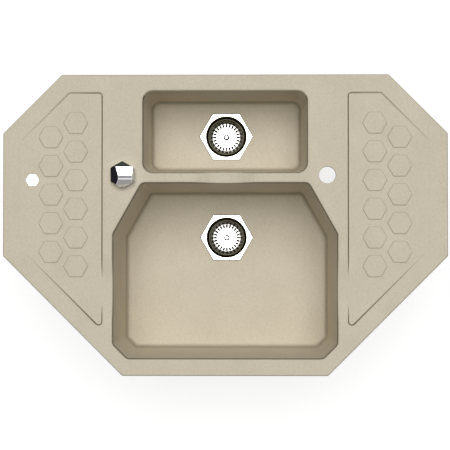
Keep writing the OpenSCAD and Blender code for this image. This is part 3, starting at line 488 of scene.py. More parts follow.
def finish(name, colour, second, smooth, rough, metal=0.0, grain=900.0, bump=0.1, axis=None, steep=None):
    material, tree = new_material(name)
    life = tree.add("ShaderNodeGroup", {
        "Colour": linear(*colour), "Second colour": linear(*second), "Smooth": smooth, "Rough": rough,
        "Patches": 45.0, "Grain": grain,
    }, node_tree=surface_life).outputs
    shown, height, ring = life["Colour"], life["Height"], {}
    if axis is not None:
        lines = tree.out("ShaderNodeGroup", {"Centre": axis}, node_tree=turned_rings)
        height = tree.math("ADD", tree.math("MULTIPLY", height, 0.25), lines)
        # A ring of painted shade and dark reflection round the axis, between basket and plate.
        ring = {"Ring shade colour": linear(*ring_shade_colour), "Centre": axis, "Inner": (basket_bottom_r + 0.8) * MM,
                "Outer": (waste_r - 0.5) * MM}
    # Steep faces get the steep colour as painted shade and dark reflection.
    if steep is not None:
        shown = tree.out("ShaderNodeGroup", {"Colour": shown, "Steep shade colour": linear(*steep), **ring},
                         node_tree=steep_tint)
    shader = coat(tree, shown, life["Roughness"], height, bump, 0.0002)
    shader.inputs["Metallic"].default_value = metal
    return material


def waste_steel(name, centre):
    # Its last colour is painted shade and dark reflection for steep faces.
    return finish(name, (248, 247, 243), (240, 239, 235), 0.13, 0.2, 1.0, 700.0, 0.05,
                  axis=centre * MM, steep=(128, 122, 102))


main_steel = waste_steel("main_waste_steel", main_waste)
small_steel = waste_steel("small_waste_steel", small_waste)
# Its last colour is painted shade for the knob's steep sides.
turned_chrome = finish("turned_chrome", (236, 236, 236), (226, 226, 228), 0.06, 0.12, 1.0, 300.0, 0.01,
                       steep=(70, 70, 64))
badge_steel = finish("inlay_steel", (252, 251, 248), (246, 245, 242), 0.1, 0.16, 1.0, 1200.0, 0.03)
chrome = finish("chrome_plate", (226, 227, 229), (216, 217, 220), 0.05, 0.09, 1.0, 300.0, 0.01)
zinc = finish("zinc_plate", (190, 192, 194), (168, 170, 172), 0.3, 0.42, 1.0, 420.0, 0.15)
brass = finish("bare_brass", (196, 164, 98), (180, 146, 84), 0.22, 0.34, 1.0, 500.0, 0.12)
rubber = finish("black_rubber", (38, 38, 38), (48, 47, 46), 0.62, 0.78, 0.0, 1300.0, 0.3)
dark_plastic = finish("dark_plastic", (52, 54, 57), (61, 63, 66), 0.4, 0.52, 0.0, 1600.0, 0.25)
pale_plastic = finish("pale_plastic", (214, 214, 209), (203, 203, 197), 0.36, 0.46, 0.0, 1600.0, 0.2)
print("materials:", len(bpy.data.materials))

# %% [markdown]
# The body's surface is made of rings. A plan is an outline with rounded corners that can be drawn at any
# inset with the same number of points, so two rings of one plan always join up in a band of four-sided
# faces. Where faces are flat, a fill joins rings of different plans with triangles. Most small forms are a
# plan's rings at pairs of inset and height.

# %% Plans and skins
class Plan:
    """An outline with rounded corners, anticlockwise, whose rings all have the same number of points."""

    def __init__(self, corners, radius, spacing, arc_steps=8):
        self.corners = [Vector(c) for c in corners]
        self.radius = radius
        self.arc_steps = arc_steps
        arcs = [self.arc(i, 0, radius) for i in range(len(corners))]
        gaps = [(arcs[(i + 1) % len(arcs)][0] - arc[-1]).length for i, arc in enumerate(arcs)]
        self.cuts = [max(1, round(gap / spacing)) for gap in gaps]

    def arc(self, i, inset, radius):
        before, corner, after = (self.corners[(i + k) % len(self.corners)] for k in (-1, 0, 1))
        u, v = (before - corner).normalized(), (after - corner).normalized()
        half = acos(max(-1, min(1, u.dot(v)))) / 2
        centre = corner + (u + v).normalized() * (inset + radius) / sin(half)
        first, turn = atan2(u.x, -u.y), pi - 2 * half
        angles = [first + k * turn / self.arc_steps for k in range(self.arc_steps + 1)]
        return [centre + radius * Vector((cos(a), sin(a))) for a in angles]

    def ring(self, inset=0.0, radius=None):
        """Points of the outline moved in by the inset. Moved outwards, its corners grow."""
        radius = self.radius + max(0, -inset) if radius is None else radius
        arcs = [self.arc(i, inset, radius) for i in range(len(self.corners))]
        points = []
        for i, arc in enumerate(arcs):
            following = arcs[(i + 1) % len(arcs)][0]
            points += arc + [arc[-1].lerp(following, k / self.cuts[i]) for k in range(1, self.cuts[i])]
        return points

    def normals(self):
        """The outward direction at each point of a ring."""
        inner, outer = self.ring(0, self.radius), self.ring(-1, self.radius + 1)
        return [(b - a).normalized() for a, b in zip(inner, outer)]


def around(steps, first=0.0):
    """The angles of equal steps round a full turn."""
    return [first + k * 2 * pi / steps for k in range(steps)]


def circle(centre, radius, steps=64):
    return [Vector((centre[0] + radius * cos(a), centre[1] + radius * sin(a))) for a in around(steps)]


def between(points, loops):
    """Which points lie in the region that closed loops bound, found by counting crossings."""
    x, y = points[:, 0], points[:, 1]
    inside = np.zeros(len(points), bool)
    for loop in loops:
        for a, b in zip(loop, loop[1:] + loop[:1]):
            if a[1] != b[1]:
                crossing = (b[0] - a[0]) * (y - a[1]) / (b[1] - a[1]) + a[0]
                inside ^= ((a[1] > y) != (b[1] > y)) & (x < crossing)
    return inside


@contextmanager
def editing(mesh):
    """The mesh as a shape whose points, edges and faces can be edited, and which is kept at the end."""
    shape = bmesh.new()
    shape.from_mesh(mesh)
    yield shape
    shape.to_mesh(mesh)
    shape.free()


def weld(shape, gap=1e-6):
    """Joins points that lie together and turns all faces outwards."""
    bmesh.ops.remove_doubles(shape, verts=shape.verts, dist=gap)
    bmesh.ops.recalc_face_normals(shape, faces=shape.faces)


def smooth(mesh):
    mesh.polygons.foreach_set("use_smooth", [True] * len(mesh.polygons))


class Skin:
    """Points in millimetres and the faces between them."""

    def __init__(self):
        self.points = []
        self.faces = []

    def ring(self, points, level=None):
        """Adds a ring, at one level, at a level for each point, or with its own levels."""
        first = len(self.points)
        for i, p in enumerate(points):
            z = p[2] if level is None else level[i] if isinstance(level, list) else level
            self.points.append((p[0], p[1], z))
        return list(range(first, len(self.points)))

    def band(self, one, other):
        for i in range(len(one)):
            j = (i + 1) % len(one)
            self.faces.append((one[i], one[j], other[j], other[i]))

    def bands(self, rings):
        for one, other in zip(rings, rings[1:]):
            self.band(one, other)

    def fill(self, loops, extra=()):
        """Triangles over the flat region between loops, through extra points where it curves."""
        flat = [[self.points[i][:2] for i in loop] for loop in loops]
        extra = [p for p in extra if between(np.array([p[:2]]), flat)[0]]
        ids = [i for loop in loops for i in loop] + self.ring(extra)
        edges, first = [], 0
        for loop in loops:
            edges += [(first + k, first + (k + 1) % len(loop)) for k in range(len(loop))]
            first += len(loop)
        made = delaunay_2d_cdt([Vector(self.points[i][:2]) for i in ids], edges, [], 0, 1e-6)
        middles = np.array([np.mean([made[0][v] for v in face], axis=0) for face in made[2]])
        for face, inside in zip(made[2], between(middles, flat)):
            if inside:
                self.faces.append(tuple(ids[made[3][v][0]] for v in face))

    def lathe(self, profile, centre=(0, 0, 0), steps=64):
        """Turns a line of (radius, height) points round an upright axis."""
        rings = [self.ring(circle(centre, r, steps), centre[2] + z) for r, z in profile]
        self.bands(rings)
        return rings

    def steps(self, plan, profile, ground=0.0):
        """Rings of a plan at pairs of inset and height, above a level or above a function of the place."""
        rings = []
        for inset, height in profile:
            points = plan.ring(inset)
            levels = [(ground(p) if callable(ground) else ground) + height for p in points]
            rings.append(self.ring(points, levels))
        self.bands(rings)
        return rings

    def mesh(self, name):
        """A welded mesh in metres, with its faces turned outwards."""
        mesh = bpy.data.meshes.new(name)
        mesh.from_pydata([(x * MM, y * MM, z * MM) for x, y, z in self.points], [], self.faces)
        with editing(mesh) as shape:
            weld(shape)
        smooth(mesh)
        return mesh

    def object(self, name):
        return new_object(name, self.mesh(name))


def open_edges(mesh):
    """How many of a mesh's edges don't have just two faces."""
    uses = Counter(edge for face in mesh.polygons for edge in face.edge_keys)
    return sum(count != 2 for count in uses.values())


def settle(obj, material, slot, body, *nodes):
    """Gives a finished piece its finish and its body, and puts it in place of CAD nodes."""
    obj.data.materials.clear()
    obj.data.materials.append(material)
    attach(obj, body)
    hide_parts(*nodes)
    print(f"{obj.name}: {len(obj.data.polygons)} faces, {open_edges(obj.data)} open edges")


# %% [markdown]
# Two kinds of dips lead the water: a saddle in the divider lets the small bowl spill into the large one,
# and a spillway drains each drainboard. On the real sink they are soft, like pressed clay: their slopes
# begin and end in a curve, and the edges beside them are a little sharper. So a dip is a share from 0 to 1,
# worked out by a formula that has no kinks, and both the level and the rounding of the edges follow that
# share.

# %% Dips
def soft_ramp(t, softness=0.2):
    """A line that starts to rise at 0, with a curve where it starts."""
    if t < -softness:
        return 0
    return (t + softness) ** 2 / (4 * softness) if t < softness else t


def dip_share(distance, flat, slope):
    t = (flat / 2 + slope - distance) / slope
    return soft_ramp(t) - soft_ramp(t - 1)


def dip_at(x, y):
    """How much of a dip there is at a place of the deck, from 0 to 1, and the dip's depth."""
    if abs(y - divider_y) < 2 * divider_w and abs(x) < saddle_flat + 2 * saddle_slope:
        return dip_share(abs(x), saddle_flat, saddle_slope), saddle_depth
    if main_w / 2 - lip_r < abs(x) < drain_x + 2 * drain_step_w:
        return dip_share(abs(y + spill_y), spill_flat, spill_slope), drain_depth
    return 0, 0


def deck_level(x, y):
    share, depth = dip_at(x, y)
    return deck_t - share * depth


def drain_fall(x):
    """How far a drainboard's floor lies below the deck."""
    return drain_lip + drain_slope * (drain_out_x - abs(x))


def drain_level(place):
    return deck_t - drain_fall(place[0])


# %% [markdown]
# A bowl begins as a ring on the deck, rolls over its lip, falls along a wall that leans in by four degrees so
# that the mould can be drawn, and turns into the floor through a large fillet. Beside a dip the lip starts
# lower. The wall there is the same leaning wall, so the lower lip also stands a little further in. Beside
# each curved edge a support ring lies on the flat side, so that the flat faces next to it stay evenly shaded.

# %% Bowls
support = 0.8
curve_steps = 8
wall_rings = 9
quarter = [k * pi / 2 / curve_steps for k in range(curve_steps + 1)]


def fillet_rings(skin, plan, foot, radius, level):
    """The rings of a fillet between a wall, whose foot is at an inset, and a floor at a level."""
    rings = [skin.ring(plan.ring(foot + radius * (1 - sin(a))), level + radius * (1 - cos(a)))
             for a in reversed(quarter)]
    return rings + [skin.ring(plan.ring(foot + radius + support), level)]


def bowl_inside(skin, plan, depth):
    """Adds a bowl's surface and returns its ring on the deck and its ring on the floor."""
    mouth, normals = plan.ring(), plan.normals()
    dips = [dip_at(p.x, p.y) for p in mouth]
    rounding = [lip_r + (crest_r - lip_r) * share for share, _ in dips]
    starts = [deck_t - r - share * fall for r, (share, fall) in zip(rounding, dips)]
    wall_z, floor_level = deck_t - lip_r, deck_t - depth

    def lip(angle, extra=0.0):
        points = []
        for p, n, r, z in zip(mouth, normals, rounding, starts):
            out = r * (1 - cos(angle)) + extra - (wall_z - z) * tan(draft)
            points.append((p.x + n.x * out, p.y + n.y * out, z + r * sin(angle)))
        return points

    rings = [skin.ring(lip(pi / 2, support))] + [skin.ring(lip(a)) for a in reversed(quarter)]
    foot_z = floor_level + floor_fillet_r
    for k in range(1, wall_rings):
        plain_z = wall_z + (foot_z - wall_z) * k / wall_rings
        plain_inset = (wall_z - plain_z) * tan(draft)
        points = []
        for p, n, start in zip(plan.ring(plain_inset), normals, starts):
            z = start + (foot_z - start) * k / wall_rings
            out = plain_inset - (wall_z - z) * tan(draft)
            points.append((p.x + n.x * out, p.y + n.y * out, z))
        rings.append(skin.ring(points))
    foot = (wall_z - foot_z) * tan(draft)
    rings += fillet_rings(skin, plan, foot, floor_fillet_r, floor_level)
    skin.bands(rings)
    return rings[0], rings[-1]


def under_level(x, y):
    """The level of the deck's underside, which drops below the saddle and the spillways."""
    edge = 4
    share, depth = 0, 0
    if abs(y - divider_y) < divider_w / 3:
        reach = saddle_flat / 2 + saddle_slope
        share, depth = dip_share(abs(x), 2 * reach - edge, edge), saddle_depth + wall_t
    if main_w / 2 + wall_t / 2 < abs(x) < drain_x:
        reach = spill_flat / 2 + spill_slope
        share, depth = dip_share(abs(y + spill_y), 2 * reach - edge, edge), drain_depth + wall_t / 4
    return seat_relief - share * (seat_relief + depth)


def bowl_outside(skin, plan, depth):
    """Adds a bowl's outer shell and returns its ring on the deck's underside and its ring on the bottom."""
    bottom_z = deck_t - depth - floor_t
    fillet = floor_fillet_r + wall_t
    foot_z = bottom_z + fillet
    foot = tan(draft) * (deck_t - lip_r - foot_z) - wall_t
    top = -wall_t + (foot + wall_t) * deck_t / 2 / (deck_t / 2 - foot_z)
    mouth = plan.ring(top)
    levels = [under_level(p.x, p.y) for p in mouth]
    corner, shell_rings = 1.0, 5
    rings = [skin.ring(plan.ring(top - corner - 0.3), levels), skin.ring(plan.ring(top - corner), levels),
             skin.ring(plan.ring(top - corner * 0.3), [z - corner * 0.3 for z in levels]),
             skin.ring(mouth, [z - corner for z in levels])]
    for k in range(1, shell_rings):
        inset = top + (foot - top) * k / shell_rings
        lower = [z - corner + (foot_z - z + corner) * k / shell_rings for z in levels]
        rings.append(skin.ring(plan.ring(inset), lower))
    rings += fillet_rings(skin, plan, foot, fillet, bottom_z)
    skin.bands(rings)
    return rings[0], rings[-1]


# %% [markdown]
# The bowl's floor has a hexagonal recess, in which the polished plate lies, and a round hole for its cup. The
# recess is another plan, and flat fills join it to the floor around it and to the hole inside it.

# %% Waste seats and deck holes
def hexagon(centre, across_flats, radius, turn=0.0, spacing=8, arc_steps=5):
    """The plan of a hexagon with rounded corners."""
    r = across_flats / sqrt(3)
    corners = [(centre[0] + r * cos(a), centre[1] + r * sin(a)) for a in around(6, turn)]
    return Plan(corners, radius, spacing, arc_steps)


def waste_seat(skin, centre, floor_ring, bottom_ring):
    seat = hexagon(centre, plate_af + 2 * lay_gap, 1.5, arc_steps=4)
    edge, chamfer = 1.4, 0.3
    rings = skin.steps(seat, [(-edge - support, 0), (-edge, 0), (-edge * 0.3, -edge * 0.3), (0, -edge),
                              (0, -rebate_depth), (support, -rebate_depth)], centre[2])
    skin.fill([floor_ring, rings[0]])
    hole = skin.lathe([(waste_r + support, -rebate_depth), (waste_r + chamfer, -rebate_depth),
                       (waste_r, -rebate_depth - chamfer), (waste_r, -floor_t + chamfer),
                       (waste_r + chamfer, -floor_t), (waste_r + chamfer + support, -floor_t)], centre)
    skin.fill([rings[-1], hole[0]])
    skin.fill([bottom_ring, hole[-1]])


def deck_hole(skin, x):
    """Adds a hole with softened edges and returns its rings on the deck and on the underside."""
    edge, low_edge = 1.0, 0.4
    profile = [(hole_r + edge + support, deck_t)]
    profile += [(hole_r + edge * (1 - cos(a)), deck_t - edge * (1 - sin(a))) for a in reversed(quarter[::2])]
    profile += [(hole_r, seat_relief + low_edge), (hole_r + low_edge, seat_relief),
                (hole_r + low_edge + support, seat_relief)]
    rings = skin.lathe(profile, (x, hole_y, 0))
    return rings[0], rings[-1]


# %% [markdown]
# A drainboard is a shallow tray that gets deeper towards the bowls. A rounded step, four millimetres wide,
# leads down to its floor. At the spillway the deck is as low as the tray, so the step fades away there. The
# tray's underside bulges down by the same amount, so that the casting keeps its thickness.

# %% Drainboards
drain_plan = Plan([
    (-drain_x, drain_x - drain_front_sum), (-drain_x, drain_back_y),
    (drain_back_y - drain_back_sum, drain_back_y), (-drain_out_x, drain_back_sum - drain_out_x),
    (-drain_out_x, drain_out_x - drain_front_sum),
], drain_corner_r, spacing=4)


def sided(points, side):
    """Points of the left drainboard, or their mirror images on the right one."""
    return [Vector((-side * p.x, p.y)) for p in points]


def drain_inside(skin, side):
    """Adds a drainboard's step and returns its ring on the deck and its ring on its floor."""
    full_r = drain_corner_r + drain_step_w

    def step(inset, share):
        points = sided(drain_plan.ring(inset, full_r - inset), side)
        return [(p.x, p.y, deck_level(p.x, p.y) * (1 - share) + drain_level(p) * share) for p in points]

    cuts = 10
    rings = [skin.ring(step(-support, 0))]
    rings += [skin.ring(step(drain_step_w * k / cuts, (1 - cos(k * pi / cuts)) / 2)) for k in range(cuts + 1)]
    rings.append(skin.ring(step(drain_step_w + support, 1)))
    skin.bands(rings)
    return rings[0], rings[-1]


def drain_outside(skin, side):
    """Adds the bulge below a drainboard and returns its ring on the deck's underside."""
    full_r = drain_corner_r + drain_step_w
    edge, inner = (sided(drain_plan.ring(-drain_step_w - out, full_r + out), side) for out in (0.4, 0))
    low = sided(drain_plan.ring(-drain_step_w + support, full_r - support), side)
    rings = [skin.ring(edge, [under_level(p.x, p.y) for p in edge]),
             skin.ring(inner, [under_level(p.x, p.y) for p in inner]),
             skin.ring(inner, [-drain_fall(p.x) for p in inner]),
             skin.ring(low, [-drain_fall(p.x) for p in low])]
    skin.bands(rings)
    skin.fill([rings[-1]])
    return rings[0]


def badge_recess(skin):
    """Adds the hexagonal recess for the inlay and returns its ring on the drainboard's floor."""
    recess = hexagon((badge_x, badge_y), badge_af + lay_gap, 1.6, spacing=6, arc_steps=4)
    rings = skin.steps(recess, [(-0.6, 0), (-0.2, 0), (0, -0.2), (0, -badge_t), (0.6, -badge_t)], drain_level)
    skin.fill([rings[-1]])
    return rings[0]


# %% [markdown]
# Raised hexagons stand in two columns on each drainboard and keep a pan off the wet floor. They repeat, so
# one hexagon is modelled, with a soft foot and a soft shoulder, and Geometry Nodes set copies of it along
# two lines of points, tilted like the drainboard's floor. They were cast with the body, so they are joined
# to it.

# %% Raised hexagons with Geometry Nodes
def hexagon_pad():
    """One raised hexagon, closed by a base that is sunk into the floor."""
    skin = Skin()
    plan = hexagon((0, 0), hex_af, 4.5)
    slope_w, sunk, root, cuts = 2.6, 0.02, 1.0, 8
    profile = [(slope_w * (k / cuts - 0.5), hex_h * (1 - cos(k * pi / cuts)) / 2 - sunk)
               for k in range(cuts + 1)]
    rings = skin.steps(plan, [(-slope_w / 2, -root), *profile, (slope_w / 2 + support, hex_h - sunk)])
    skin.fill([rings[0]])
    skin.fill([rings[-1]])
    return skin.object("hexagon_pad")


def copies_on(tree, points, piece, rotation):
    """Copies of a piece on points, as plain geometry."""
    copies = tree.out("GeometryNodeInstanceOnPoints", {
        "Points": points, "Instance": piece, "Rotation": rotation,
    })
    return tree.out("GeometryNodeRealizeInstances", {0: copies})


def finish_group(tree, geometry):
    """Lets a group give out its geometry, with the finish that the group was given."""
    painted = tree.out("GeometryNodeSetMaterial", {"Geometry": geometry, "Material": tree.given("Finish")})
    tree.add("NodeGroupOutput", {"Geometry": painted})
    return tree.tree


def make_pad_rows():
    tree = new_group("pad_rows", "GeometryNodeTree", {
        "Geometry": "Geometry", "Inner row start": "Vector", "Outer row start": "Vector",
        "Inner count": "Int", "Outer count": "Int", "Pitch": "Float", "Tilt": "Float", "Finish": "Material",
    }, {"Geometry": "Geometry"})
    stride = tree.out("ShaderNodeCombineXYZ", {"Y": tree.math("MULTIPLY", tree.given("Pitch"), -1.0)})
    rows = [
        tree.out("GeometryNodeMeshLine", {
            "Count": tree.given(label + " count"), "Start Location": tree.given(label + " row start"),
            "Offset": stride,
        }) for label in ("Inner", "Outer")
    ]
    places = tree.out("GeometryNodeJoinGeometry", {0: rows})
    tilt = tree.out("ShaderNodeCombineXYZ", {"Y": tree.given("Tilt")})
    return finish_group(tree, copies_on(tree, places, tree.given("Geometry"), tilt))


def apply_nodes(obj, group, **values):
    """Runs a group of Geometry Nodes on an object and keeps the result as a plain mesh."""
    modifier = obj.modifiers.new(group.name, "NODES")
    modifier.node_group = group
    for item in group.interface.items_tree:
        if item.in_out == "INPUT" and item.name.replace(" ", "_") in values:
            modifier[item.identifier] = values[item.name.replace(" ", "_")]
    return bake_modifiers(obj)


def bake_modifiers(obj):
    bpy.context.view_layer.update()
    evaluated = obj.evaluated_get(bpy.context.evaluated_depsgraph_get())
    mesh = bpy.data.meshes.new_from_object(evaluated)
    obj.modifiers.clear()
    obj.data = mesh
    return obj


pad_rows = make_pad_rows()


def drain_hexagons(side):
    """The raised hexagons of one drainboard."""
    inner, outer = (Vector((side * x, y, deck_t - drain_fall(x))) * MM
                    for x, y in ((hex_x, hex_y), (hex_outer_x, hex_y - hex_pitch / 2)))
    return apply_nodes(
        hexagon_pad(), pad_rows, Finish=quartz, Pitch=hex_pitch * MM, Tilt=-side * atan2(drain_slope, 1),
        Inner_row_start=inner, Outer_row_start=outer, Inner_count=hex_count, Outer_count=hex_count - 1)


# %% [markdown]
# Now the body is put together: deck, bowls, drainboards, holes and underside are one closed skin, as they are
# one casting on the real sink. Below the rim stand the eight bosses that hold the inserts of the clamps.

# %% The body
clamp_inset = 33
clamp_boss_r = 7
clamp_boss_h = 12
insert_r = 4.05
insert_l = 10
side_clamp_y = (150, -20)


def clamp_places():
    slant = front_cut / 2 + clamp_inset * sqrt(0.5)
    for side in (-1, 1):
        yield side * hole_x, deck_d / 2 - clamp_inset
        for y in side_clamp_y:
            yield side * (deck_w / 2 - clamp_inset), y
        yield side * (deck_w / 2 - slant), -(deck_d / 2 - slant)


def dip_points():
    """Extra points that let the fill of the deck follow the dips."""
    spacing, spill_rows = 4, (11, 15)

    def along(flat, slope, middle=0):
        reach = flat / 2 + 1.3 * slope
        return [middle - reach + k * spacing for k in range(int(2 * reach / spacing) + 1)]

    places = [(x, divider_y) for x in along(saddle_flat, saddle_slope)]
    places += [(side * (main_w / 2 + out), y) for side in (-1, 1) for out in spill_rows
               for y in along(spill_flat, spill_slope, -spill_y)]
    return [(x, y, deck_level(x, y)) for x, y in places]


def symmetric(first, *others):
    """An outline from the corners of its right half, front to back, and their mirror images."""
    return [(-first[0], first[1]), first, *others] + [(-x, y) for x, y in reversed(others)]


def quartz_body():
    skin = Skin()
    deck_plan = Plan(symmetric(
        (deck_w / 2 - front_cut, -deck_d / 2), (deck_w / 2, -deck_d / 2 + front_cut),
        (deck_w / 2, deck_d / 2 - back_cut), (deck_w / 2 - back_cut, deck_d / 2)), deck_corner_r, spacing=10)
    main_plan = Plan(symmetric(
        (main_w / 2 - main_front_cut, main_front_y), (main_w / 2, main_front_y + main_front_cut),
        (main_w / 2, main_back_y - main_slant_l), (main_back_w / 2, main_back_y)), main_corner_r, spacing=4)
    small_plan = Plan(symmetric(
        (small_w / 2, small_front_y), (small_w / 2, small_back_y)), small_corner_r, spacing=4, arc_steps=12)

    rim = [skin.ring(deck_plan.ring(deck_edge_r + support, deck_corner_r), deck_t)]
    for a in reversed(quarter):
        rim.append(skin.ring(deck_plan.ring(deck_edge_r * (1 - cos(a)), deck_corner_r),
                             deck_t - deck_edge_r * (1 - sin(a))))
    rim += [skin.ring(deck_plan.ring(inset, deck_corner_r), z) for inset, z in [
        (0, 0.5), (0.5, 0), (0.5 + support, 0), (seat_w - support, 0), (seat_w, 0), (seat_w, seat_relief),
        (seat_w + support, seat_relief)]]
    skin.bands(rim)
    above, below = [rim[0]], [rim[-1]]
    for plan, depth, centre in [(main_plan, main_depth, main_waste), (small_plan, small_depth, small_waste)]:
        mouth, floor_ring = bowl_inside(skin, plan, depth)
        shell, bottom_ring = bowl_outside(skin, plan, depth)
        waste_seat(skin, centre, floor_ring, bottom_ring)
        above.append(mouth)
        below.append(shell)
    for side in (-1, 1):
        tray, tray_floor = drain_inside(skin, side)
        recess = [badge_recess(skin)] if side < 0 else []
        skin.fill([tray_floor] + recess)
        above.append(tray)
        below.append(drain_outside(skin, side))
        hole_top, hole_bottom = deck_hole(skin, side * hole_x)
        above.append(hole_top)
        below.append(hole_bottom)
    skin.fill(above, dip_points())
    skin.fill(below)
    sunk, chamfer = 2, 0.6
    for x, y in clamp_places():
        skin.lathe([(0, sunk), (clamp_boss_r, sunk), (clamp_boss_r, -clamp_boss_h + chamfer),
                    (clamp_boss_r - chamfer, -clamp_boss_h), (insert_r, -clamp_boss_h),
                    (insert_r, insert_l - clamp_boss_h), (0, insert_l - clamp_boss_h)], (x, y, 0), steps=32)
    return skin.object("quartz_body")


def join(first, *others):
    """Adds the meshes of other objects to the first one."""
    with editing(first.data) as shape:
        for obj in others:
            shape.from_mesh(obj.data)
    for obj in others:
        bpy.data.objects.remove(obj)
    return first


body = join(quartz_body(), drain_hexagons(-1), drain_hexagons(1))
settle(body, quartz, "quartz", "sink", "sink_body")

# %% [markdown]
# The waste of each bowl is a polished hexagonal plate with a deep round cup pressed into it. A lathe shape
# with softened corners gives the cup, and a plan gives the plate. A profile's sharp corners are softened by
# a small curve, because a pressed sheet has no sharp corner, and a sharp one would catch no light.

# %% Plates and cups
def soften(profile, radius, steps=4):
    """Rounds the corners of a line of (radius, height) points."""
    points = [Vector(p) for p in profile]
    result = [points[0]]
    for before, corner, after in zip(points, points[1:], points[2:]):
        back, ahead = before - corner, after - corner
        cut_back, cut_ahead = (min(radius, leg.length * 0.45) for leg in (back, ahead))
        start, end = corner + back.normalized() * cut_back, corner + ahead.normalized() * cut_ahead
        for k in range(steps + 1):
            t = k / steps
            result.append(start * (1 - t) ** 2 + corner * 2 * t * (1 - t) + end * t ** 2)
    return [tuple(p) for p in result] + [tuple(points[-1])]


plate_top = seal_t + plate_t - rebate_depth
cup_r = waste_r - 2
cup_in_r = cup_r - sheet_t
ledge_z = plate_top - cup_ledge
sump_z = ledge_z - cup_sump
sump_in_r = stopper_r - 4 - sheet_t


def waste_plate(name, centre, material, node):
    skin = Skin()
    plan = hexagon(centre, plate_af, 2.0)
    edge = 0.7
    rings = skin.steps(plan, [
        (edge + support, plate_top), (edge, plate_top), (edge * 0.3, plate_top - edge * 0.3),
        (0, plate_top - edge), (0, plate_top - plate_t), (support, plate_top - plate_t)], centre[2])
    bottom = sump_z - sheet_t
    drain_rim, drain_r, drain_ring_r, screw_r = 3, 7, 20, 3.9
    mouth = [(cup_in_r + out, plate_top - down) for out, down in [
        (mouth_r + support, 0), (mouth_r, 0), (mouth_r - 0.4, 0.3), (0.2, mouth_r - 0.3), (0, mouth_r)]]
    inner = soften([(cup_in_r, plate_top - mouth_r), (cup_in_r, ledge_z), (sump_in_r, ledge_z),
                    (sump_in_r, sump_z), (sump_in_r - drain_rim, sump_z)], radius=1.2)
    outer = soften([(sump_in_r - drain_rim, bottom), (sump_in_r + sheet_t, bottom),
                    (sump_in_r + sheet_t, ledge_z - sheet_t), (cup_r, ledge_z - sheet_t),
                    (cup_r, plate_top - plate_t), (cup_r + support, plate_top - plate_t)], radius=1.2)
    inside = skin.lathe(mouth + inner[1:], centre, steps=96)
    outside = skin.lathe(outer, centre, steps=96)
    skin.fill([rings[0], inside[0]])
    skin.fill([rings[-1], outside[-1]])
    x, y, z = centre
    places = [(x + drain_ring_r * cos(a), y + drain_ring_r * sin(a), z) for a in around(6)]
    drains = [skin.lathe([(drain_r, sump_z), (drain_r, bottom)], place, steps=24) for place in places]
    screw = skin.lathe([(screw_r, sump_z), (screw_r, bottom)], centre, steps=24)
    skin.fill([inside[-1], screw[0]] + [d[0] for d in drains])
    skin.fill([outside[0], screw[1]] + [d[1] for d in drains])
    settle(skin.object(name), material, "steel", "sink", node)


wastes = [("main", main_waste, main_steel), ("small", small_waste, small_steel)]
for label, centre, steel in wastes:
    waste_plate(label + "_waste_plate", centre, steel, label + "_waste_flange")

# %% [markdown]
# A strainer basket is pressed from sheet: a rolled rim, a leaning wall and a floor, with 24 short slots
# round the floor's edge. One sector with one slot is modelled as a bare surface. Geometry Nodes turn 24
# copies of it round the axis and weld them, and a Solidify modifier gives the sheet its thickness, slots
# and all.

# %% Strainer baskets with Geometry Nodes
stopper_z = ledge_z + lay_gap
basket_z = stopper_z + stopper_t
basket_rim_z = basket_z + basket_h


def basket_profile():
    """The sheet's outer line from the middle of the floor to the rim, cut in short steps."""
    corners = soften([(shank_r, basket_z), (basket_bottom_r - 0.3, basket_z),
                      (basket_bottom_r + 0.6, basket_z + 4), (basket_r - 2.8, basket_rim_z - 2.2),
                      (basket_r - 1.4, basket_rim_z - sheet_t / 2), (basket_r, basket_rim_z - 2.2)],
                     radius=0.35, steps=3)
    points = [Vector(corners[0])]
    for end in map(Vector, corners[1:]):
        start, cuts = points[-1], max(1, round((end - points[-1]).length / 1.5))
        points += [start.lerp(end, k / cuts) for k in range(1, cuts + 1)]
    return points


def basket_sector(centre):
    """One of the basket's equal sectors, with its slot in the middle."""
    profile = basket_profile()
    travelled = [0.0]
    for a, b in zip(profile, profile[1:]):
        travelled.append(travelled[-1] + (b - a).length)
    slot_start, slot_end = slot_inner_r - shank_r, slot_outer_r - shank_r
    end_r = slot_w / 4
    end_cuts = [end_r * (1 - cos(a)) for a in quarter[::2]]
    before, past = 0.4, slot_w * 0.6
    cuts = sorted({slot_start + c for c in end_cuts} | {slot_end - c for c in end_cuts}
                  | {d for d in travelled if not slot_start - before < d < slot_start + past
                     and not slot_end - past < d < slot_end + before})
    half_turn = pi / slot_count
    skin, rows = Skin(), []
    for d in cuts:
        r = float(np.interp(d, travelled, [p.x for p in profile]))
        z = float(np.interp(d, travelled, [p.y for p in profile]))
        edge = min(d - slot_start, slot_end - d)
        half = 0.0
        if edge > 0:
            half = slot_w / 2 - end_r + sqrt(end_r ** 2 - max(0, end_r - edge) ** 2)
        slot_angle = half / r
        angles = [-half_turn, -half_turn * 0.75 - slot_angle * 0.25, -slot_angle]
        angles += [-a for a in reversed(angles)]
        rows.append(skin.ring([(centre.x + r * cos(a), centre.y + r * sin(a), centre.z + z) for a in angles]))
    for low, high in zip(rows, rows[1:]):
        for k in (0, 1, 3, 4):
            skin.faces.append((low[k], low[k + 1], high[k + 1], high[k]))
    return skin


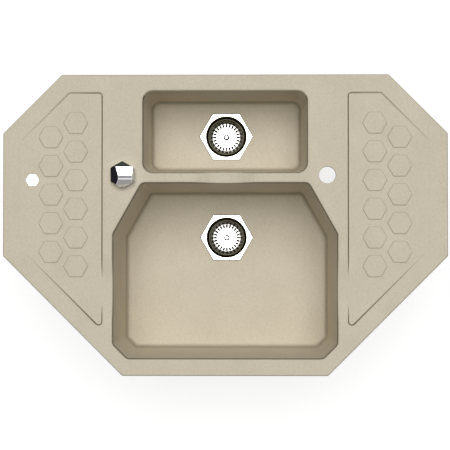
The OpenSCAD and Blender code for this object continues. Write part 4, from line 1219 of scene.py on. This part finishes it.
def make_full_turn():
    tree = new_group("full_turn", "GeometryNodeTree", {
        "Geometry": "Geometry", "Count": "Int", "Centre": "Vector", "Finish": "Material",
    }, {"Geometry": "Geometry"})
    home = tree.out("ShaderNodeVectorMath", {0: tree.given("Centre"), "Scale": -1.0}, operation="SCALE")
    moved = tree.out("GeometryNodeTransform", {"Geometry": tree.given("Geometry"), "Translation": home})
    points = tree.out("GeometryNodeMeshLine", {
        "Count": tree.given("Count"), "Start Location": tree.given("Centre"), "Offset": (0, 0, 0),
    })
    share = tree.math("DIVIDE", tree.out("GeometryNodeInputIndex"), tree.given("Count"))
    turn = tree.out("ShaderNodeCombineXYZ", {"Z": tree.math("MULTIPLY", share, 2 * pi)})
    turned = copies_on(tree, points, moved, turn)
    welded = tree.out("GeometryNodeMergeByDistance", {"Geometry": turned, "Distance": weld_gap})
    return finish_group(tree, welded)


weld_gap = 2e-5
full_turn = make_full_turn()


def strainer_basket(name, centre, material, body_name, node):
    basket = basket_sector(centre).object(name)
    apply_nodes(basket, full_turn, Count=slot_count, Centre=centre * MM, Finish=material)
    with editing(basket.data) as shape:
        weld(shape, weld_gap)
        floor_face = min(shape.faces, key=lambda f: f.calc_center_median().z)
        if floor_face.normal.z > 0:
            bmesh.ops.reverse_faces(shape, faces=shape.faces)
    smooth(basket.data)
    solidify = basket.modifiers.new("sheet", "SOLIDIFY")
    solidify.thickness = sheet_t * MM
    solidify.offset = -1
    bake_modifiers(basket)
    settle(basket, material, "steel", body_name, node)


for label, centre, steel in wastes:
    strainer_basket(label + "_strainer_basket", centre, steel, label + "_strainer", label + "_basket")

# %% [markdown]
# The little knob in each basket is turned from bar: a waisted post, whose head ends in a cone with a flat
# top. The basket is lifted out by it. Its shank goes through basket and stopper and is spread into a foot
# below them.

# %% Strainer knobs
def strainer_knob(name, centre, body_name, node):
    base_z = basket_z + sheet_t
    top_z = base_z + stem_h
    foot_z = stopper_z - 1.4
    neck_r, waist_r = 2.5, stem_r * 0.55
    profile = soften([
        (0, foot_z), (stem_r, foot_z), (stem_r, stopper_z), (neck_r, stopper_z), (neck_r, base_z),
        (stem_r - 0.8, base_z), (waist_r, base_z + 1.8), (waist_r, top_z - 4.8), (stem_r, top_z - 3),
        (stem_r, top_z - 2.4), (stem_r - 3.2, top_z), (0, top_z),
    ], radius=0.4)
    skin = Skin()
    skin.lathe(profile, centre, steps=48)
    settle(skin.object(name), turned_chrome, "chrome", body_name, node)


for label, centre, _ in wastes:
    strainer_knob(label + "_strainer_knob", centre, label + "_strainer", label + "_basket_stem")

# %% [markdown]
# The control knob is a hexagonal bar of chromed brass with facets cut off its top, as a gem is cut. The bar
# is closed first and then cut by planes, and a bevel softens the edges that show, because plating never
# covers a sharp one. A fan of planes follows the curve of the top down to the front. The large facets keep
# flat shading. The bevels and that curve are smooth, so that the reflections break cleanly at the edges and
# flow between them.

# %% Control knob
def leaning(slant, heading):
    """A direction that leans from upright by the slant, towards the heading."""
    return Vector((sin(slant) * cos(heading), sin(slant) * sin(heading), cos(slant)))


def control_knob():
    centre = Vector((-hole_x, hole_y, 0))
    plan = hexagon(centre, knob_af, 0.6, turn=pi / 6, spacing=100, arc_steps=1)
    pocket_r, pocket_h, bevel_w, bevel_area = 23, 3.3, 0.9, 12
    skin = Skin()
    low = skin.ring(plan.ring(), knob_z + lay_gap)
    high = skin.ring(plan.ring(), knob_z + knob_h)
    skin.band(low, high)
    skin.faces.append(tuple(high))
    pocket = skin.lathe([(pocket_r, knob_z + lay_gap), (pocket_r, knob_z + pocket_h), (0, knob_z + pocket_h)],
                        (centre.x, centre.y, 0), steps=48)
    skin.fill([low, pocket[0]])
    mesh = skin.mesh("control_hexagon")
    top = centre + Vector((0, 0, knob_z + knob_h))
    brow, fan_step, fan_planes = radians(8), radians(3.5), 14
    axis = top + Vector((0, knob_curve_r * sin(brow) - knob_brow, -knob_curve_r * cos(brow)))
    fan = [leaning(brow + k * fan_step, -pi / 2) for k in range(fan_planes)]
    cuts = [(axis + knob_curve_r * normal, normal) for normal in fan]
    cuts += [
        (top + Vector((-knob_left, 0, 0)), leaning(radians(40), pi + radians(15))),
        (top + Vector((knob_right, 0, 0)), leaning(radians(65), radians(-8))),
        (top + Vector((0, knob_back, 0)), leaning(radians(40), pi / 2)),
    ]
    with editing(mesh) as shape:
        for at, normal in cuts:
            everything = list(shape.verts) + list(shape.edges) + list(shape.faces)
            cut = bmesh.ops.bisect_plane(shape, geom=everything, dist=1e-7, plane_co=at * MM,
                                         plane_no=normal.normalized(), clear_outer=True)
            rim = [e for e in cut["geom_cut"] if isinstance(e, bmesh.types.BMEdge)]
            bmesh.ops.edgeloop_fill(shape, edges=rim)
        weld(shape)
        sharp = [e for e in shape.edges if len(e.link_faces) == 2 and e.calc_face_angle() > radians(6)
                 and min(v.co.z for v in e.verts) > (knob_z + pocket_h + 0.5) * MM]
        bmesh.ops.bevel(shape, geom=sharp, offset=bevel_w * MM, segments=4, profile=0.5, affect="EDGES",
                        clamp_overlap=True)
    for face in mesh.polygons:
        on_curve = face.normal.y < -0.1 and 0.5 < face.normal.z < 0.995 and abs(face.normal.x) < 0.01
        face.use_smooth = face.area < bevel_area * MM * MM or on_curve
    settle(new_object("control_hexagon", mesh), chrome, "chrome", "knob", "control_knob")


control_knob()

# %% [markdown]
# The inlay in the left drainboard is a small polished hexagon, nearly flush with the floor and left blank.

# %% Blank inlay
def blank_inlay():
    skin = Skin()
    plan = hexagon((badge_x, badge_y), badge_af, 1.6, spacing=6)
    rings = skin.steps(plan, [(0, -1.5), (0, 0.1), (0.12, 0.28), (0.5, 0.35), (1.2, 0.36)], drain_level)
    skin.fill([rings[0]])
    skin.fill([rings[-1]])
    settle(skin.object("blank_inlay"), badge_steel, "steel", "sink", "blank_badge")


blank_inlay()

# %% [markdown]
# The push cable runs round the outside of the large bowl, from the knob's drive to the waste. The sink
# holds it at both ends, so its length and route are fixed. Its casing follows a smooth curve through the
# same points as the CAD model's, with a finer round section.

# %% Push cable
cable_r = 2.75
drive_reach, drive_aside, drive_level = 18, 6.5, -46
port_reach, port_level = 50, -64
cable_start = Vector((-hole_x - drive_reach, hole_y + drive_aside, drive_level))
cable_end = main_waste + Vector((-port_reach, 0, port_level))
cable_route = [
    cable_start, cable_start - Vector((16, 0, 0)), cable_start - Vector((26, 0, 0)),
    Vector((-280, 110, -55)), Vector((-292, 100, -84)), Vector((-286, 76, -130)), Vector((-262, 46, -180)),
    Vector((-222, 14, -224)), Vector((-170, -10, -248)), Vector((-110, -22, -255)),
    cable_end - Vector((30, 0, 0)), cable_end - Vector((18, 0, 0)), cable_end,
]


def through(points, cuts):
    """A smooth curve through points, cut in equal shares between each two."""
    result = []
    for i in range(len(points) - 1):
        a, b, c, d = (points[min(max(i + k, 0), len(points) - 1)] for k in (-1, 0, 1, 2))
        for k in range(cuts):
            t = k / cuts
            result.append(0.5 * (2 * b + (c - a) * t + (2 * a - 5 * b + 4 * c - d) * t ** 2
                                 + (3 * b - a - 3 * c + d) * t ** 3))
    return result + [points[-1]]


def push_cable():
    path = through(cable_route, cuts=14)
    skin, rings, sides = Skin(), [], 16
    for i, p in enumerate(path):
        along = (path[min(i + 1, len(path) - 1)] - path[max(i - 1, 0)]).normalized()
        across = Vector((0, 1, 0)).cross(along).normalized()
        up = along.cross(across)
        rings.append(skin.ring([p + cable_r * (cos(a) * across + sin(a) * up) for a in around(sides)]))
    skin.bands(rings)
    skin.faces += [tuple(rings[0]), tuple(reversed(rings[-1]))]
    length = sum((b - a).length for a, b in zip(path, path[1:]))
    print("push cable:", round(length), "mm")
    settle(skin.object("push_cable_casing"), pale_plastic, "pale_plastic", "sink", "pop_up_cable")


push_cable()

# %% [markdown]
# The remaining nodes of the CAD model already have their final shape, so they only get finishes: rubber for
# what seals, plastic for what is moulded, chrome for the bush that the knob turns in, brass for the hollow
# screw, the nuts and the inserts, and zinc-plated steel for clamps, screws and pins.

# %% Finishes for the CAD nodes
node_finishes = [
    (rubber, ["main_flange_seal", "small_flange_seal", "main_floor_gasket", "small_floor_gasket",
              "main_stopper_seal", "small_stopper_seal", "bush_gasket", "under_washer"]),
    (dark_plastic, ["main_waste_body", "small_waste_body", "port_nut", "drum_housing", "housing_cover"]),
    (pale_plastic, ["cable_elbow", "cable_drum"]),
    (brass, ["main_hollow_screw", "control_locknut", "housing_nut", "clamp_inserts"]),
    (chrome, ["control_bush"]),
    (zinc, ["small_centre_screw", "lift_pin", "knob_grub_screw", "control_spindle", "spindle_clip",
            "cover_screws", "rim_clamps", "clamp_screws"]),
]
for node_finish, node_names in node_finishes:
    for node_name in node_names:
        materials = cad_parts[node_name].data.materials
        materials.clear()
        materials.append(node_finish)
finished = {node_name for _, node_names in node_finishes for node_name in node_names}
plain = [n for n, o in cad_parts.items() if n not in finished and not o.hide_render]
print("finished nodes:", len(finished), "without a finish:", plain)
